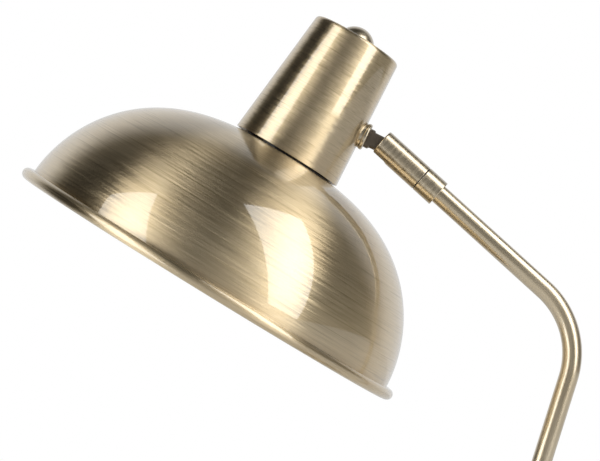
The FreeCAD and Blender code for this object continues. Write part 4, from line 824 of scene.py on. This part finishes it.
class LAMP_OT_holder_thread(bpy.types.Operator):
    """Builds the thread ridges on the lampholder's skirt with Geometry Nodes"""

    bl_idname = "lamp.holder_thread"
    bl_label = "Lampholder thread"

    def execute(self, context):
        """Stacks the ridges, turns them into mesh and rides them on the head."""
        size = context.scene.lamp_holder
        material = slot_finish("holder_black")
        mesh = bpy.data.meshes.new("holder_thread")
        thread = bpy.data.objects.new("holder_thread", mesh)
        context.scene.collection.objects.link(thread)
        modifier = thread.modifiers.new("Ridges", "NODES")
        modifier.node_group = self.ridge_tree(material)
        sizes = {"Radius": HOLDER_SKIRT_RADIUS - size.ridge_radius / 3, "Ridge": size.ridge_radius,
                 "Pitch": size.ridge_pitch, "Count": size.ridge_count}
        for item in modifier.node_group.interface.items_tree:
            if item.in_out == "INPUT" and item.name in sizes:
                modifier[item.identifier] = sizes[item.name]
        baked(thread)
        lead_in = 0.0007
        thread.data.transform(HEAD_FRAME @ Matrix.Translation((0, 0, HOLDER_BOTTOM + lead_in)))
        thread.data.shade_smooth()
        seated(thread, "head", "holder_black")
        return {"FINISHED"}

    @staticmethod
    def ridge_tree(material):
        """Node tree that stacks rings along Z."""
        group = bpy.data.node_groups.new("Stacked ridges", "GeometryNodeTree")
        for label, kind in (("Radius", "NodeSocketFloat"), ("Ridge", "NodeSocketFloat"),
                            ("Pitch", "NodeSocketFloat"), ("Count", "NodeSocketInt")):
            group.interface.new_socket(label, in_out="INPUT", socket_type=kind)
        group.interface.new_socket("Geometry", in_out="OUTPUT", socket_type="NodeSocketGeometry")
        tree = Tree(group)
        given = tree.node("NodeGroupInput").outputs
        path = tree.node("GeometryNodeCurvePrimitiveCircle", {"Resolution": 128, "Radius": given["Radius"]})
        section = tree.node("GeometryNodeCurvePrimitiveCircle", {"Resolution": 12, "Radius": given["Ridge"]})
        ridge = tree.node("GeometryNodeCurveToMesh", {
            "Curve": path.outputs["Curve"], "Profile Curve": section.outputs["Curve"]})
        step = tree.node("ShaderNodeCombineXYZ", {"Z": given["Pitch"]})
        stack = tree.node("GeometryNodeMeshLine", {"Count": given["Count"], "Offset": step.outputs[0]})
        copies = tree.node("GeometryNodeInstanceOnPoints", {
            "Points": stack.outputs["Mesh"], "Instance": ridge.outputs["Mesh"]})
        whole = tree.node("GeometryNodeRealizeInstances", {"Geometry": copies.outputs["Instances"]})
        dressed = tree.node("GeometryNodeSetMaterial", {"Geometry": whole.outputs["Geometry"],
                                                        "Material": material})
        tree.node("NodeGroupOutput", {"Geometry": dressed.outputs["Geometry"]})
        return group


class LAMP_OT_fittings(bpy.types.Operator):
    """Gives every CAD piece that stays its finish: knuckle, nuts, screws, lampholder, bulb and base parts"""

    bl_idname = "lamp.fittings"
    bl_label = "Fittings"

    def execute(self, context):
        """Dresses each shown CAD node by its slot in the record."""
        for part in frame["record"]["subparts"]:
            piece = frame["nodes"][part["node"]]
            if piece.hide_render:
                continue
            if part["node"] in TURNED_FRAMES:
                dress(piece, turned_finish("turned_brass_" + part["node"], TURNED_FRAMES[part["node"]]))
            else:
                dress(piece, slot_finish(NODE_FINISHES.get(part["node"], part["material_slot"])))
        return {"FINISHED"}


class LAMP_OT_studio(bpy.types.Operator):
    """Builds the floor, the softboxes, the world and the camera"""

    bl_idname = "lamp.studio"
    bl_label = "Studio"

    def execute(self, context):
        """Places what isn't part of the lamp."""
        size = context.scene.lamp_studio
        self.floor(size)
        self.world(context.scene, size)
        softbox("right_softbox", RIGHT_SOFTBOX, size.right_level)
        softbox("left_softbox", LEFT_SOFTBOX, size.left_level)
        self.fill(size.fill_level)
        camera = bpy.data.objects.new("camera", bpy.data.cameras.new("camera"))
        context.scene.collection.objects.link(camera)
        camera.location = CAMERA_PLACE
        camera.rotation_mode = "QUATERNION"
        aim = (CAMERA_AIM - CAMERA_PLACE).to_track_quat("-Z", "Y")
        camera.rotation_quaternion = aim @ Matrix.Rotation(CAMERA_ROLL, 3, "Z").to_quaternion()
        camera.data.lens = size.focal_length
        camera.data.clip_start, camera.data.clip_end = 0.05, 60.0
        context.scene.camera = camera
        context.scene.view_settings.view_transform = "Standard"
        return {"FINISHED"}

    @staticmethod
    def floor(size):
        """Pale round floor under the lamp."""
        verts = [(x, y, 0) for x, y in circle_points(FLOOR_RADIUS, 96)]
        floor = mesh_object("studio_floor", verts, [tuple(range(len(verts)))])
        material, tree, surface = new_material("studio_floor")
        shader = tree.node("ShaderNodeBsdfPrincipled", {
            "Base Color": toned(size.floor_colour), "Roughness": 0.85})
        tree.join(shader.outputs[0], surface)
        dress(floor, material)

    @staticmethod
    def world(scene, size):
        """White background that metal also shows behind the lamp, darker sides, and a plain fill level."""
        world = bpy.data.worlds.new("studio")
        scene.world = world
        world.use_nodes = True
        tree = Tree(world.node_tree)
        ray = tree.node("ShaderNodeLightPath").outputs
        coordinates = tree.node("ShaderNodeTexCoord").outputs["Generated"]
        direction = tree.node("ShaderNodeSeparateXYZ", {0: coordinates}).outputs
        away, height = direction["Y"], direction["Z"]
        backdrop = tree.ranged(away, 0.34, 0.70, 0.0, BACKDROP_LEVEL, smooth=True)
        glow = tree.ranged(height, -0.05, 0.75, GLOW_LEVEL_LOW, GLOW_LEVEL_HIGH, smooth=True)
        front = tree.math("MULTIPLY", tree.ranged(away, -0.25, -0.85, 0.0, 1.0, smooth=True), glow)
        glossy = tree.math("ADD", tree.math("ADD", backdrop, front), ROOM_LEVEL)
        shown = tree.math("MAXIMUM", ray["Is Camera Ray"], ray["Is Transmission Ray"])
        rest = tree.math("SUBTRACT", 1.0, tree.math("MAXIMUM", shown, ray["Is Glossy Ray"]))
        level = tree.math("ADD", tree.math("MULTIPLY", glossy, ray["Is Glossy Ray"]),
                          tree.math("MULTIPLY", rest, size.fill_level))
        level = tree.math("ADD", level, shown)
        sky = tree.node("ShaderNodeBackground", {"Color": (1.0, 1.0, 1.0, 1.0), "Strength": level})
        tree.node("ShaderNodeOutputWorld", {"Surface": sky.outputs[0]})

    @staticmethod
    def fill(level):
        """Soft lamp that shapes what isn't metal and gives the floor its shadow."""
        light = bpy.data.lights.new("fill_softbox", "AREA")
        light.shape = "SQUARE"
        light.size = FILL_SIDE
        light.energy = math.pi * FILL_SIDE ** 2 * level * FILL_BOOST
        lamp = bpy.data.objects.new("fill_softbox", light)
        bpy.context.scene.collection.objects.link(lamp)
        lamp.location = FILL_PLACE
        lamp.rotation_mode = "QUATERNION"
        lamp.rotation_quaternion = (LAMP_MIDDLE - FILL_PLACE).to_track_quat("-Z", "Y")
        lamp.visible_glossy = False
        lamp.visible_camera = False


class LAMP_PT_panel(bpy.types.Panel):
    """Lists the lamp's pieces and the studio"""

    bl_idname = "LAMP_PT_panel"
    bl_label = "Desk lamp"
    bl_space_type = "VIEW_3D"
    bl_region_type = "UI"
    bl_category = "Desk lamp"

    def draw(self, context):
        """Lists the operators and the settings."""
        for operator in OPERATORS:
            self.layout.operator(operator.bl_idname)
        for name in SETTINGS:
            group = getattr(context.scene, name)
            box = self.layout.box()
            for prop in group.bl_rna.properties:
                if not prop.is_readonly and prop.identifier != "name":
                    box.prop(group, prop.identifier)


SETTINGS = {"lamp_shade": ShadeSettings, "lamp_arm": ArmSettings, "lamp_holder": HolderSettings,
            "lamp_studio": StudioSettings}
OPERATORS = (LAMP_OT_dome, LAMP_OT_cap, LAMP_OT_base_cover, LAMP_OT_arm, LAMP_OT_holder_thread,
             LAMP_OT_fittings, LAMP_OT_studio)


def register():
    """Registers the classes and the scene's settings."""
    for settings in SETTINGS.values():
        bpy.utils.register_class(settings)
    for kind in OPERATORS + (LAMP_PT_panel,):
        bpy.utils.register_class(kind)
    for name, settings in SETTINGS.items():
        setattr(bpy.types.Scene, name, PointerProperty(type=settings))


def unregister():
    """Takes the classes and settings away again."""
    for name in SETTINGS:
        delattr(bpy.types.Scene, name)
    for kind in (LAMP_PT_panel,) + OPERATORS[::-1] + tuple(SETTINGS.values()):
        bpy.utils.unregister_class(kind)


def main():
    """Builds every piece and the studio."""
    register()
    for operator in OPERATORS:
        group, name = operator.bl_idname.split(".")
        getattr(getattr(bpy.ops, group), name)()


if __name__ == "__main__":
    main()
